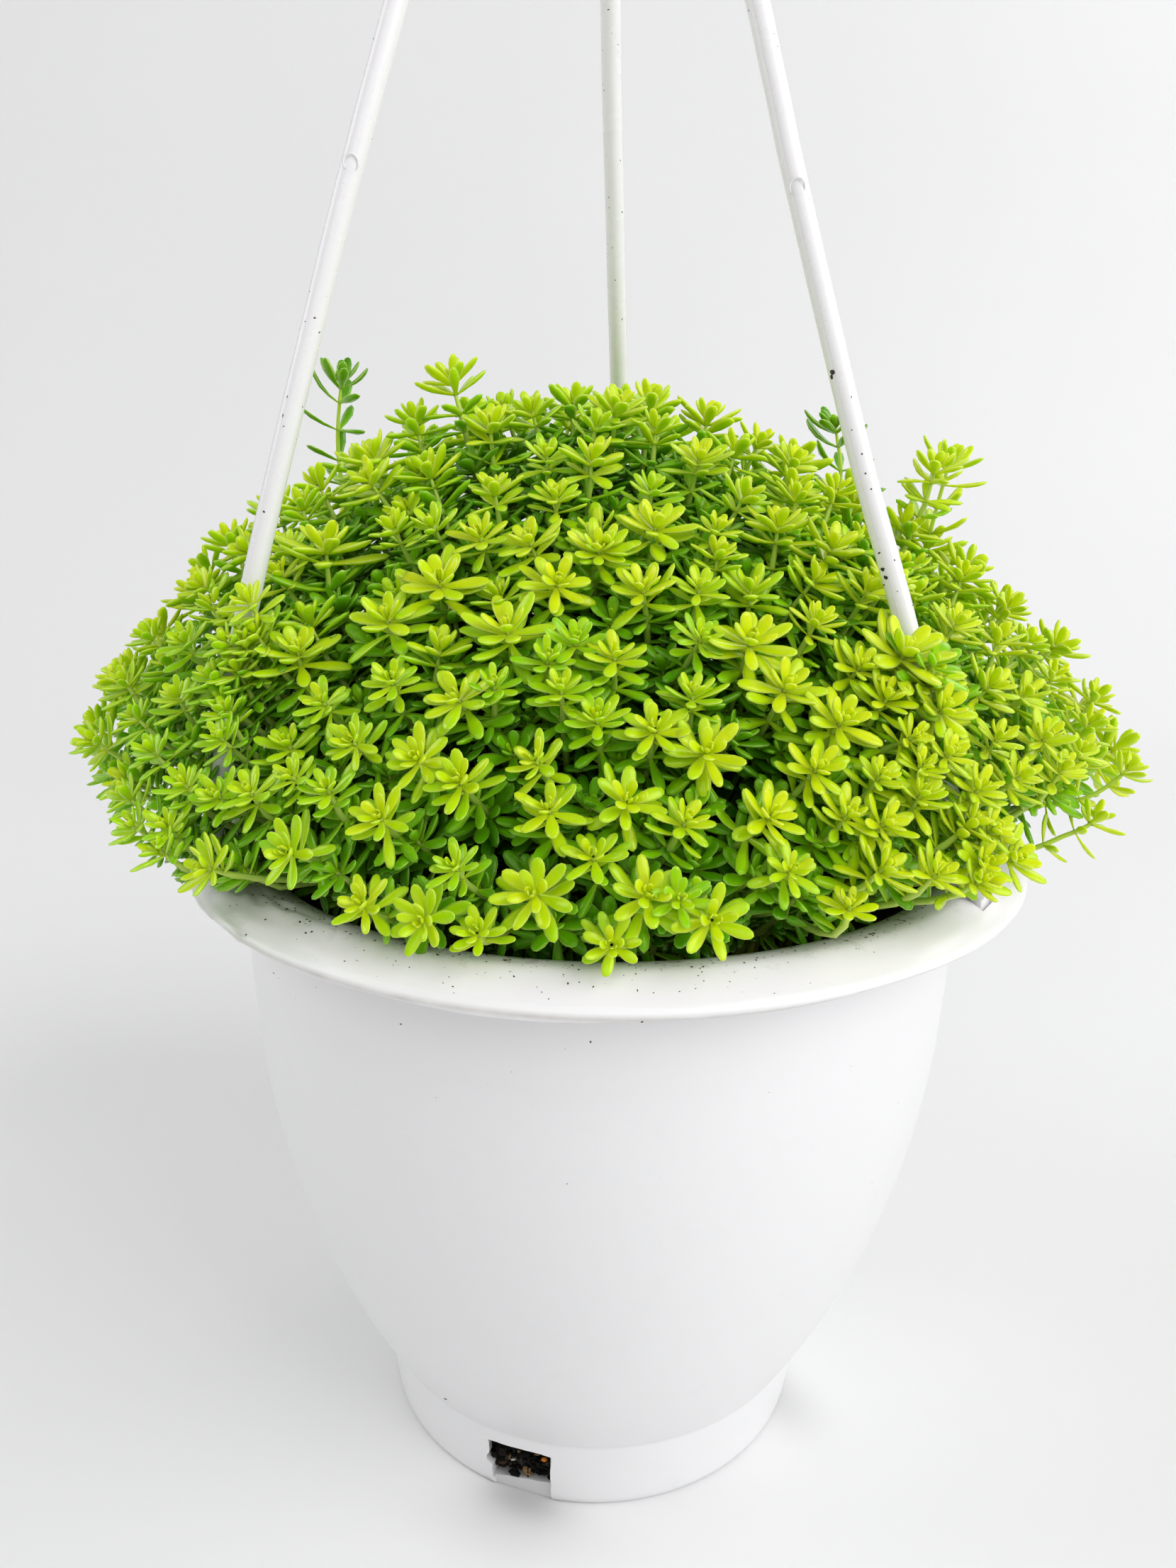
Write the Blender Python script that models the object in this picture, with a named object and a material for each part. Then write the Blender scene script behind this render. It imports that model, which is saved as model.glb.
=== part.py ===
"""A golden japanese stonecrop in a white moulded hanging pot, standing on its foot.

Metres, +Z up. The origin is the middle of the pot's foot, on the surface it stands on.
The front of the pot faces -Y. The pot is a turned shell with a rolled flange rim, a
short foot ring and one drain slot. A one-piece hanger, three bowed arms from a hub with
an open hook, snaps through three slots in the rim. The mix fills the pot, and the plant
is a cushion of rooted clumps, each a crown with stems that end in star-shaped heads. Three
stems are long shoots that stand out of the cushion at the back and the right.
"""
import math
import random

import bmesh
import bpy
from mathutils import Vector

MM = 0.001

# ---------------------------------------------------------------- driving dimensions (mm)
RIM_R = 89.0            # outermost radius of the rolled rim
RIDGE_R = 81.4          # radius of the rim's top ridge
RIDGE_Z = 143.0         # height of the ridge over the table
FOOT_R = 48.9           # foot ring where it meets the table
FOOT_TOP_R = 52.2       # foot ring at its upper seam
FOOT_TOP_Z = 18.0
WALL = 1.7              # wall of the moulding
FLOOR_Z = 4.0           # top of the pot's floor
BODY = ((18.6, 51.9), (30.0, 57.9), (42.5, 63.3), (55.0, 67.6), (69.0, 71.6),
        (84.0, 74.6), (100.0, 76.5), (116.0, 77.3), (136.0, 76.6))
POT_SIDES = 44
RIM_LEAN = 0.0083       # the soft rim stands about half a degree out of level
RIM_SHIFT = 1.1         # and about a millimetre out of centre, to +X

SLOT_AZ = 252.0         # drain slot in the foot wall
SLOT_WIDTH, SLOT_LOW, SLOT_HIGH = 14.0, 4.2, 13.2
SLOT_POCKET = 7.5       # how far the mix has washed back behind the slot

ARM_AZ = (86.0, 206.0, 326.0)
CLIP_R = 84.4           # radius of the three rim slots
CLIP_WIDE, CLIP_DEEP = 6.6, 3.4
HUB = (-5.0, -2.0, 382.0)
HUB_R, HUB_H = 8.0, 6.0
ARM_R = 2.35
HOOK_R, HOOK_BAR = 13.0, 2.5

SOIL_Z = 131.5          # flat level of the mix
GAP = 0.35              # clearance between neighbouring pieces

# Cushion of leaves: a mound whose top lies a little behind and left of the pot's axis. It
# reaches further out on the right, and its front slopes down to the rim.
DOME_AT = (-4.0, 14.0)
DOME_Z0, DOME_H = 147.0, 86.5
DOME_P_SIDE, DOME_P_SKEW, DOME_P_FRONT = 1.58, 0.10, 1.32
DOME_SIDE, DOME_SKEW, DOME_BACK_CUT, DOME_FRONT_CUT = 119.0, 6.0, 25.0, 19.0
HEAD_R = 6.6            # star head of one shoot
# Three long shoots that stand out of the cushion: their way from foot to tip
LONG_SHOOTS = (((-63.0, 43.0, 207.0), (-63.6, 41.0, 224.0), (-62.8, 40.0, 238.0)),
               ((57.0, 41.0, 205.0), (56.0, 38.0, 219.0), (53.0, 37.0, 230.0)),
               ((78.0, 19.0, 197.0), (76.5, 17.0, 210.0), (73.5, 16.0, 220.0)))
SEED = 20240611

random.seed(SEED)


# ---------------------------------------------------------------- helpers
def material(name, colour, rough, metallic=0.0):
    mat = bpy.data.materials.new(name)
    mat.use_nodes = True
    bsdf = mat.node_tree.nodes["Principled BSDF"]
    bsdf.inputs["Base Color"].default_value = (*colour, 1.0)
    bsdf.inputs["Roughness"].default_value = rough
    bsdf.inputs["Metallic"].default_value = metallic
    return mat


def put(name, verts, faces, mat, smooth=None):
    """A mesh object from points in millimetres, faces turned outwards."""
    mesh = bpy.data.meshes.new(name)
    mesh.from_pydata([tuple(c * MM for c in v) for v in verts], [], faces)
    bm = bmesh.new()
    bm.from_mesh(mesh)
    bmesh.ops.recalc_face_normals(bm, faces=bm.faces)
    if bm.calc_volume(signed=True) < 0:
        bmesh.ops.reverse_faces(bm, faces=bm.faces)
    bm.to_mesh(mesh)
    bm.free()
    mesh.materials.append(mat)
    if smooth is not None:
        mesh.shade_smooth()
        mesh.set_sharp_from_angle(angle=math.radians(smooth))
    ob = bpy.data.objects.new(name, mesh)
    bpy.context.scene.collection.objects.link(ob)
    return ob


def boolean(target, other, operation, hide=True):
    mod = target.modifiers.new(operation.lower() + "_" + other.name, "BOOLEAN")
    mod.operation = operation
    mod.solver = "EXACT"
    mod.object = other
    if hide:
        other.hide_render = True
        other.display_type = "WIRE"


def turned(profile, sides, shape=None):
    """Points and faces of a closed turned form. The profile runs from the axis to the axis."""
    verts, rings, faces = [], [], []
    for r, z in profile:
        if r < 1e-6:
            rings.append([len(verts)])
            verts.append((0.0, 0.0, z))
            continue
        ring = []
        for i in range(sides):
            a = 2 * math.pi * i / sides
            p = (r * math.cos(a), r * math.sin(a), z)
            ring.append(len(verts))
            verts.append(shape(p, r, z) if shape else p)
        rings.append(ring)
    for a, b in zip(rings, rings[1:]):
        for i in range(sides):
            j = (i + 1) % sides
            if len(a) == 1:
                faces.append((a[0], b[i], b[j]))
            elif len(b) == 1:
                faces.append((a[i], a[j], b[0]))
            else:
                faces.append((a[i], a[j], b[j], b[i]))
    return verts, faces


def frames(path):
    """Side and lift vectors along a path, without twist."""
    tangents = []
    for i in range(len(path)):
        t = path[min(i + 1, len(path) - 1)] - path[max(i - 1, 0)]
        tangents.append(t.normalized())
    side = tangents[0].cross(Vector((0.31, 0.27, 0.91)))
    if side.length < 1e-3:
        side = tangents[0].cross(Vector((1, 0, 0)))
    side.normalize()
    out = []
    for t in tangents:
        side = (side - t * side.dot(t)).normalized()
        out.append((side.copy(), t.cross(side).normalized()))
    return out


def tube(path, radii, sides):
    """A closed round bar along a path."""
    verts, faces, rings = [], [], []
    for p, (s, u), r in zip(path, frames(path), radii):
        rings.append(list(range(len(verts), len(verts) + sides)))
        for k in range(sides):
            a = 2 * math.pi * (k + 0.5) / sides
            verts.append(tuple(p + s * (r * math.cos(a)) + u * (r * math.sin(a))))
    for a, b in zip(rings, rings[1:]):
        for i in range(sides):
            j = (i + 1) % sides
            faces.append((a[i], a[j], b[j], b[i]))
    faces.append(tuple(reversed(rings[0])))
    faces.append(tuple(rings[-1]))
    return verts, faces


def box(centre, size, turn=0.0):
    """A box in millimetres, turned about Z."""
    c, s = math.cos(turn), math.sin(turn)
    verts = []
    for dz in (-0.5, 0.5):
        for dx, dy in ((-0.5, -0.5), (0.5, -0.5), (0.5, 0.5), (-0.5, 0.5)):
            x, y = dx * size[0], dy * size[1]
            verts.append((centre[0] + c * x - s * y, centre[1] + s * x + c * y, centre[2] + dz * size[2]))
    faces = [(3, 2, 1, 0), (4, 5, 6, 7), (0, 1, 5, 4), (1, 2, 6, 5), (2, 3, 7, 6), (3, 0, 4, 7)]
    return verts, faces


def smooth_path(points, count):
    """Evenly read points of a Catmull-Rom curve through the given ones."""
    pts = [Vector(p) for p in points]
    pts = [pts[0] * 2 - pts[1]] + pts + [pts[-1] * 2 - pts[-2]]
    fine = []
    for i in range(1, len(pts) - 2):
        p0, p1, p2, p3 = pts[i - 1:i + 3]
        for k in range(24):
            t = k / 24
            fine.append(0.5 * (2 * p1 + (p2 - p0) * t + (2 * p0 - 5 * p1 + 4 * p2 - p3) * t * t
                               + (3 * p1 - p0 - 3 * p2 + p3) * t ** 3))
    fine.append(pts[-2])
    along = [0.0]
    for a, b in zip(fine, fine[1:]):
        along.append(along[-1] + (b - a).length)
    out = []
    for k in range(count):
        want = along[-1] * k / (count - 1)
        i = max(0, min(len(fine) - 2, next((n for n, v in enumerate(along) if v > want), len(fine) - 1) - 1))
        f = (want - along[i]) / max(1e-9, along[i + 1] - along[i])
        out.append(fine[i].lerp(fine[i + 1], min(1.0, max(0.0, f))))
    return out


# ---------------------------------------------------------------- pot
def body_r(z):
    """Outer radius of the bell-shaped body."""
    pts = [Vector((r, z0, 0)) for z0, r in BODY]
    for (z0, r0), (z1, r1) in zip(BODY, BODY[1:]):
        if z <= z1:
            return r0 + (r1 - r0) * (z - z0) / (z1 - z0)
    return pts[-1].x


def rim_true(p, r, z):
    """The rim's small error of form, growing over the last 20 mm of height."""
    f = min(1.0, max(0.0, (z - 122.0) / 14.0))
    return (p[0] + f * RIM_SHIFT, p[1], p[2] + f * RIM_LEAN * p[0])


def pot_profile():
    outer = [(0.0, 2.0), (44.6, 2.0), (45.4, 0.0), (48.4, 0.0), (FOOT_R, 0.6), (FOOT_TOP_R, 17.6), (52.15, 18.2)]
    outer += [(r, z) for z, r in BODY if z > 20.0]
    rim = [(76.9, 138.4), (78.3, 140.2), (81.0, 141.0), (84.4, 139.9), (87.2, 138.0),
           (88.3, 137.9), (RIM_R, 138.8), (87.4, 140.7), (83.6, 142.5), (RIDGE_R, RIDGE_Z),
           (79.8, 142.7), (76.9, 140.0)]
    inner = [(r - WALL, z) for z, r in reversed(BODY[2::2])]
    inner += [(50.3, 18.4), (48.3, 8.0), (46.0, 4.8), (43.5, FLOOR_Z), (0.0, FLOOR_Z)]
    return outer + rim + inner


def build_pot(mat):
    verts, faces = turned(pot_profile(), POT_SIDES, rim_true)
    pot = put("pot", verts, faces, mat, 38)
    for n, az in enumerate(ARM_AZ):
        a = math.radians(az)
        c = (CLIP_R * math.cos(a) + RIM_SHIFT, CLIP_R * math.sin(a), 141.0)
        v, f = box(c, (CLIP_DEEP, CLIP_WIDE, 9.0), a)
        boolean(pot, put(f"rim_slot_cutter_{n}", v, f, mat), "DIFFERENCE")
    a = math.radians(SLOT_AZ)
    mid = 49.0
    c = (mid * math.cos(a), mid * math.sin(a), (SLOT_LOW + SLOT_HIGH) / 2)
    v, f = box(c, (9.0, SLOT_WIDTH, SLOT_HIGH - SLOT_LOW), a)
    boolean(pot, put("drain_slot_cutter", v, f, mat), "DIFFERENCE")
    return pot


# ---------------------------------------------------------------- hanger
# Bow of each arm, as (distance from the pot's axis, height), from the photograph: the
# moulding is soft and each arm has its own slight bend
BOWS = {
    206.0: ((CLIP_R, 144.4), (79.6, 171.2), (72.3, 199.7), (65.4, 223.6), (60.2, 240.8), (51.5, 270.9), (42.1, 297.5)),
    326.0: ((CLIP_R - 1.0, 144.4), (75.0, 168.1), (67.2, 191.9), (54.6, 224.9), (40.4, 267.9), (30.4, 298.5)),
    86.0: ((CLIP_R, 144.4), (77.5, 170.0), (69.5, 198.0), (60.0, 224.0), (48.6, 255.0), (35.5, 294.0)),
}


def arm_path(az, count):
    a = math.radians(az)
    pts = [(s * math.cos(a) + RIM_SHIFT, s * math.sin(a), z) for s, z in BOWS[az]]
    if az == 86.0:
        pts = [(6.2 - (z - 144.4) * 0.041 + 0.4, s * math.sin(a), z) for s, z in BOWS[az]]
    pts.append((HUB[0] + 5.0 * math.cos(a), HUB[1] + 5.0 * math.sin(a), HUB[2] + 0.5))
    return smooth_path(pts, count)


def build_hanger(mat):
    hub_v, hub_f = turned([(0.0, HUB[2] - HUB_H / 2), (6.4, HUB[2] - HUB_H / 2), (HUB_R, HUB[2] - HUB_H / 2 + 1.4),
                           (HUB_R, HUB[2] + HUB_H / 2 - 1.4), (6.0, HUB[2] + HUB_H / 2), (0.0, HUB[2] + HUB_H / 2)], 16)
    hub_v = [(x + HUB[0], y + HUB[1], z) for x, y, z in hub_v]
    hanger = put("hanger", hub_v, hub_f, mat, 35)
    parts = []
    for n, az in enumerate(ARM_AZ):
        a = math.radians(az)
        path = arm_path(az, 11)
        v, f = tube(path, [2.6] + [ARM_R] * 9 + [2.9], 7)
        parts.append(put(f"arm_bar_{n}", v, f, mat))
        top = path[0]
        cx, cy = CLIP_R * math.cos(a) + RIM_SHIFT, CLIP_R * math.sin(a)
        lean = RIM_LEAN * cx
        # shoulder above the rim, tongue through it, barb below it
        v, f = box((cx - 0.4 * math.cos(a), cy - 0.4 * math.sin(a), 144.65 + lean), (4.6, 8.4, 2.4), a)
        parts.append(put(f"arm_shoulder_{n}", v, f, mat))
        v, f = box((cx, cy, 140.4 + lean), (2.2, 5.4, 7.4), a)
        parts.append(put(f"arm_tongue_{n}", v, f, mat))
        v, f = box((cx, cy, 136.3 + lean), (3.6, 7.4, 2.2), a)
        parts.append(put(f"arm_barb_{n}", v, f, mat))
    # stem and open hook over the hub
    z0 = HUB[2] + HUB_H / 2
    stem = [Vector((HUB[0], HUB[1], z)) for z in (z0 - 2.0, z0 + 8.0)]
    centre_z = z0 + 8.0 + HOOK_R
    bend = []
    for k in range(12):
        b = math.radians(-90 - 265 * k / 11)
        bend.append(Vector((HUB[0] + HOOK_R * math.cos(b), HUB[1], centre_z + HOOK_R * math.sin(b))))
    v, f = tube(stem + bend[1:], [HOOK_BAR + 0.6, HOOK_BAR] + [HOOK_BAR] * 10 + [1.9], 7)
    parts.append(put("hook_bar", v, f, mat))
    for p in parts:
        boolean(hanger, p, "UNION")
    return hanger


# ---------------------------------------------------------------- potting mix
def build_mix(mat):
    g = WALL + GAP + 0.25
    side = [(r - g, z) for z, r in reversed(BODY[2::2]) if z < 128.0]
    prof = [(0.0, FLOOR_Z + GAP), (43.0, FLOOR_Z + GAP), (45.4, 5.6), (47.6, 9.0), (49.6, 18.4)]
    prof += list(reversed(side)) + [(73.2, 129.0), (71.8, SOIL_Z), (0.0, SOIL_Z)]
    verts, faces = turned(prof, 28)
    mix = put("potting_mix", verts, faces, mat, 38)
    a = math.radians(SLOT_AZ)
    r = 49.0 - SLOT_POCKET / 2 + 3.0
    v, f = box((r * math.cos(a), r * math.sin(a), 9.2), (SLOT_POCKET + 6.0, SLOT_WIDTH + 3.0, 11.4), a)
    boolean(mix, put("slot_pocket_cutter", v, f, mat), "DIFFERENCE")
    return mix


# ---------------------------------------------------------------- cushion of leaves
def edge_radius(phi):
    """Reach of the cushion's edge from its middle."""
    s = math.sin(phi)
    return DOME_SIDE + DOME_SKEW * math.cos(phi) - DOME_BACK_CUT * max(0.0, s) ** 2 - DOME_FRONT_CUT * max(0.0, -s) ** 2.2


def dome_power(phi):
    """Fullness of the cushion's outline: full at the sides and back, flatter in front."""
    f = min(1.0, max(0.0, -math.sin(phi)) / 0.85)
    side = DOME_P_SIDE - DOME_P_SKEW * math.cos(phi)
    return side - (side - DOME_P_FRONT) * f * f * (3 - 2 * f)


def canopy(t, phi):
    """Point on the cushion. t is the share of the way down the outline from the top, 0, to
    the edge, 1. Past 1 it runs on under the edge."""
    e, reach = 2 / dome_power(phi), edge_radius(phi)
    line = []
    for k in range(37):
        b = k * math.pi / 72
        line.append((reach * math.sin(b) ** e, DOME_H * max(0.0, math.cos(b)) ** e))
    along = [0.0]
    for p, q in zip(line, line[1:]):
        along.append(along[-1] + math.hypot(q[0] - p[0], q[1] - p[1]))
    want = max(0.0, t) * along[-1]
    r, z = line[-1]
    if want >= along[-1]:
        r, z = r - 0.25 * (want - along[-1]), -0.9 * (want - along[-1])
    else:
        for k in range(36):
            if want <= along[k + 1]:
                f = (want - along[k]) / (along[k + 1] - along[k])
                r = line[k][0] + f * (line[k + 1][0] - line[k][0])
                z = line[k][1] + f * (line[k + 1][1] - line[k][1])
                break
    return Vector((DOME_AT[0] + r * math.cos(phi), DOME_AT[1] + r * math.sin(phi), DOME_Z0 + z))


def from_middle(p):
    """Distance of a point from the upright line through the cushion's middle."""
    return math.hypot(p.x - DOME_AT[0], p.y - DOME_AT[1])


def soil_point(t, phi):
    r = 62.0 * min(1.0, t) ** 0.92
    return Vector((r * math.cos(phi), r * math.sin(phi), SOIL_Z + GAP))


def stem_point(q, s):
    """Point at share s up the stem family. q is (t, phi). Edge stems arch over the rim."""
    t, phi = q
    a, c = soil_point(t, phi), canopy(t, phi)
    lean = 0.32 + 0.10 * t
    rise = 14.0 + 10.0 * t ** 3
    mid = a.lerp(c, lean)
    mid.z = max(a.z + (c.z - a.z) * 0.72, min(a.z + rise + 14.0 * t, c.z - 1.0 + 5.0 * abs(math.cos(phi))))
    return a * (1 - s) ** 2 + mid * 2 * s * (1 - s) + c * s * s


def fan_point(q, spot, s):
    """Point at share s up a stem of an edge clump: the stems keep their order across the
    clump's middle stem, so that they fan out side by side over the rim."""
    here, ahead = stem_point(q, s), stem_point(q, s + 0.04)
    along = (ahead - here).normalized()
    ring_way = Vector((-math.sin(q[1]), math.cos(q[1]), 0.0))
    outward = ring_way.cross(along).normalized()
    rho = from_middle(canopy(*q))
    wide = (spot[1] - q[1]) * rho * (0.42 + 0.44 * s)
    deep = (spot[0] - q[0]) * 135.0 * (0.42 + 0.44 * s)
    p = here + ring_way * wide + outward * deep
    if math.hypot(p.x, p.y) > 70.0:
        p.z = max(p.z, RIDGE_Z + 3.6)      # over the rim
    return p


def arm_clear(p, need):
    """Moves a point sideways round the pot until it is clear of every hanger arm."""
    for az in ARM_AZ:
        a = math.radians(az)
        best = min(ARM_POINTS[az], key=lambda w: (w - p).length)
        gap = (best - p).length
        if gap < need:
            phi = math.atan2(p.y, p.x)
            d = (phi - a + math.pi) % (2 * math.pi) - math.pi
            step = (1 if d >= 0 else -1) * (need - gap + 0.4) / max(20.0, math.hypot(p.x, p.y))
            c, s = math.cos(step), math.sin(step)
            p = Vector((c * p.x - s * p.y, s * p.x + c * p.y, p.z))
    return p


def unit_basis(n):
    s = n.cross(Vector((0.2, 0.1, 0.97)))
    if s.length < 1e-3:
        s = n.cross(Vector((1, 0, 0)))
    s.normalize()
    return s, n.cross(s).normalized()


def clump(name, base, crown_r, turn, heads, mat):
    """One rooted clump as a single closed body: a crown prism whose top is divided into one
    sector for each stem, a three-sided stem drawn from each, and a star head on each stem.
    heads is a list of (stem path, star radius, star facing), in order round the crown, and
    turn is the direction of the first sector's first corner."""
    k = len(heads)
    verts, faces = [], []
    low = [(base.x + crown_r * math.cos(turn + 2 * math.pi * i / k),
            base.y + crown_r * math.sin(turn + 2 * math.pi * i / k), base.z) for i in range(k)]
    high = [(x, y, base.z + 3.0) for x, y, z in low]
    verts += low + high
    verts.append((base.x, base.y, base.z + 4.0))
    top = 2 * k
    faces.append(tuple(reversed(range(k))))
    for i in range(k):
        j = (i + 1) % k
        faces.append((i, j, k + j, k + i))
    for n, (path, star, facing) in enumerate(heads):
        a, b = k + n, k + (n + 1) % k
        tri = (top, a, b)
        pts = [Vector(verts[v]) for v in tri]
        mid = (pts[0] + pts[1] + pts[2]) / 3
        inset = []
        for p in pts:
            inset.append(len(verts))
            verts.append(tuple(mid + (p - mid) * 0.62 + Vector((0, 0, 0.5))))
        for i in range(3):
            j = (i + 1) % 3
            faces.append((tri[i], tri[j], inset[j], inset[i]))
        # order of corners round the stem, kept from ring to ring
        last = inset
        steps = len(path)
        for i in range(1, steps):
            tangent = (path[min(i + 1, steps - 1)] - path[i - 1]).normalized()
            one = (Vector(verts[last[0]]) - Vector(verts[last[1]])).normalized()
            one = (one - tangent * one.dot(tangent)).normalized()
            two = tangent.cross(one).normalized()
            heart = sum((Vector(verts[v]) for v in last), Vector()) / 3
            sx = sy = 0.0
            for c in range(3):
                d = Vector(verts[last[c]]) - heart
                w = math.atan2(d.dot(two), d.dot(one)) - 2 * math.pi * c / 3
                sx, sy = sx + math.cos(w), sy + math.sin(w)
            w = math.atan2(sy, sx)
            side = one * math.cos(w) + two * math.sin(w)
            other = tangent.cross(side).normalized()
            rad = 0.95 - 0.2 * i / steps
            ring = []
            for c in range(3):
                w = 2 * math.pi * c / 3
                ring.append(len(verts))
                verts.append(tuple(path[i] + side * (rad * math.cos(w)) + other * (rad * math.sin(w))))
            for c in range(3):
                d = (c + 1) % 3
                faces.append((last[c], last[d], ring[d], ring[c]))
            last = ring
        # star: the rim points alternate between leaf tips and the notches between leaves
        n_dir = facing.normalized()
        side = (side - n_dir * side.dot(n_dir)).normalized()
        other = n_dir.cross(side).normalized()
        tip = path[-1]
        rim, leaves = [], 5
        for c in range(2 * leaves):
            w = 2 * math.pi * c / (2 * leaves)
            out = star if c % 2 == 0 else star * 0.34
            up = 1.5 if c % 2 == 0 else 1.0
            rim.append(len(verts))
            verts.append(tuple(tip + side * (out * math.cos(w)) + other * (out * math.sin(w)) + n_dir * (up + 0.4)))
        # each rim point joins the nearest of the stem's three corners
        near = [int(((c / (2 * leaves)) * 3 + 0.5) % 3) for c in range(2 * leaves)]
        for c in range(2 * leaves):
            d = (c + 1) % (2 * leaves)
            faces.append((last[near[c]], rim[d], rim[c]))
            if near[c] != near[d]:
                faces.append((last[near[c]], last[near[d]], rim[d]))
        apex = len(verts)
        verts.append(tuple(tip + n_dir * 3.6))
        for c in range(len(rim)):
            faces.append((rim[c], rim[(c + 1) % len(rim)], apex))
    return put(name, verts, faces, mat)


def ring_heads(t, phi, spread_t, spread_a):
    """Head places of a clump centred at (t, phi), in order round it, every second one near
    the middle. Returns the direction of the first place and the places."""
    turn = random.uniform(0, 2 * math.pi)
    spots = []
    for i in range(6):
        w = turn + 2 * math.pi * i / 6 + random.uniform(-0.08, 0.08)
        f = (1.12 if i % 2 == 0 else 0.50) * random.uniform(0.96, 1.04)
        spots.append((t + spread_t * f * math.sin(w), phi + spread_a * f * math.cos(w)))
    return turn, spots


def place_name(ring, phi):
    deg = math.degrees(phi) % 360
    words = ["right", "back_right", "back", "back_left", "left", "front_left", "front", "front_right"]
    return words[int(((deg + 22.5) % 360) // 45)]


def build_plant(mats):
    centres = [("crown", 0.0, 0.0)]
    for i in range(6):
        centres.append(("upper", 0.30, math.radians(30 + 60 * i)))
    for i in range(12):
        centres.append(("middle", 0.60, math.radians(101 + 30 * i)))
    for i in range(15):
        centres.append(("outer", 0.895, math.radians(98 + 24 * i)))
    heads, used = [], {}
    for n, (ring, t, phi) in enumerate(centres):
        if ring == "crown":
            # tangent of t over the top is direct, so the places are plain polar ones
            turn = math.radians(20)
            spots = [((0.115 if i % 2 == 0 else 0.052) + random.uniform(-0.004, 0.004), turn + math.pi * i / 3)
                     for i in range(6)]
            turn += math.radians(-30)
        else:
            rho = from_middle(canopy(t, phi))
            spread_a = 13.2 / rho
            spread_t = {"upper": 0.105, "middle": 0.098, "outer": 0.098}[ring]
            turn, spots = ring_heads(t, phi, spread_t, spread_a)
            # cos is along the ring and sin is outwards, and the crown's sectors turn the other way
            spots.reverse()
            first = turn + 2 * math.pi * 5 / 6
            turn = phi + math.pi / 2 - first - math.pi / 6
        heads.append((ring, t, phi, turn, spots))
    # star places, kept clear of arms and of one another
    stars = []
    for n, (ring, t, phi, turn, spots) in enumerate(heads):
        for s in spots:
            stars.append([n, s, arm_clear(canopy(*s), HEAD_R + ARM_R + 1.6)])
    # long shoots carry on from the star place nearest to their foot
    longer = {}
    for way in LONG_SHOOTS:
        foot = Vector(way[0])
        i = min((j for j in range(len(stars)) if j not in longer), key=lambda j: (stars[j][2] - foot).length)
        longer[i] = [Vector(w) for w in way[1:]]
    sizes = []
    for i, (n, s, p) in enumerate(stars):
        near = min((p - q[2]).length for j, q in enumerate(stars) if j != i)
        sizes.append(max(3.4, min(HEAD_R, near / 2 - 0.45)))
    for n, (ring, t, phi, turn, spots) in enumerate(heads):
        if ring == "crown":
            name = "sedum_clump_crown"
        else:
            word = place_name(ring, phi)
            used[(ring, word)] = used.get((ring, word), 0) + 1
            name = f"sedum_clump_{ring}_{word}_{used[(ring, word)]}"
        base = soil_point(t, phi)
        base.z += random.uniform(0.0, 0.6)
        rows = []
        for i, (m, s, p) in enumerate(stars):
            if m != n:
                continue
            path = []
            last = 3 if ring == "outer" else 2
            for step in range(last + 1):
                f = step / last
                g = f ** 0.6
                q = (t + (s[0] - t) * g, phi + (s[1] - phi) * g) if ring != "crown" else (s[0] * g, s[1])
                w = stem_point(q, f)
                if step == last:
                    w = p.copy()
                elif step:
                    if ring == "outer":
                        w = fan_point((t, phi), s, f)
                    w = arm_clear(w, ARM_R + 2.4)
                path.append(w)
            eps = 0.02
            a = canopy(s[0] + eps, s[1]) - canopy(max(0.0, s[0] - eps), s[1])
            side = Vector((-math.sin(s[1]), math.cos(s[1]), 0))
            normal = side.cross(a).normalized() * -1
            if normal.dot(path[-1] - Vector((0, 0, DOME_Z0 - 30))) < 0:
                normal = -normal
            facing = (normal + Vector((0, 0, 0.35))).normalized()
            path[-1] = path[-1] - facing * 2.6
            if i in longer:
                path += longer[i]
                facing = (path[-1] - path[-2]).normalized()
            rows.append((path, sizes[i], facing))
        clump(name, base, 3.6, turn, rows, random.choice(mats))


# ---------------------------------------------------------------- the object
for old in list(bpy.data.objects):
    bpy.data.objects.remove(old, do_unlink=True)

white_pot = material("white_pot_plastic", (0.86, 0.86, 0.87), 0.36)
white_hanger = material("white_hanger_plastic", (0.88, 0.88, 0.88), 0.32)
mix_dark = material("potting_mix_dark", (0.035, 0.025, 0.018), 0.95)
leaf_mats = [material("sedum_lime", (0.50, 0.72, 0.04), 0.42),
             material("sedum_green", (0.36, 0.60, 0.04), 0.42),
             material("sedum_deep", (0.14, 0.36, 0.04), 0.45)]

ARM_POINTS = {az: smooth_path([tuple(v) for v in arm_path(az, 15)], 120) for az in ARM_AZ}

build_pot(white_pot)
build_hanger(white_hanger)
build_mix(mix_dark)
build_plant(leaf_mats)
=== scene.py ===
"""Looks of a golden stonecrop in a white hanging pot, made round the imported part.

Millimetres inside the helpers, metres in the meshes. The origin is the middle of the
pot's foot, the front faces -Y.
"""
import math
import random

import bmesh
import bpy
import numpy as np
from mathutils import Matrix, Vector, noise


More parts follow.
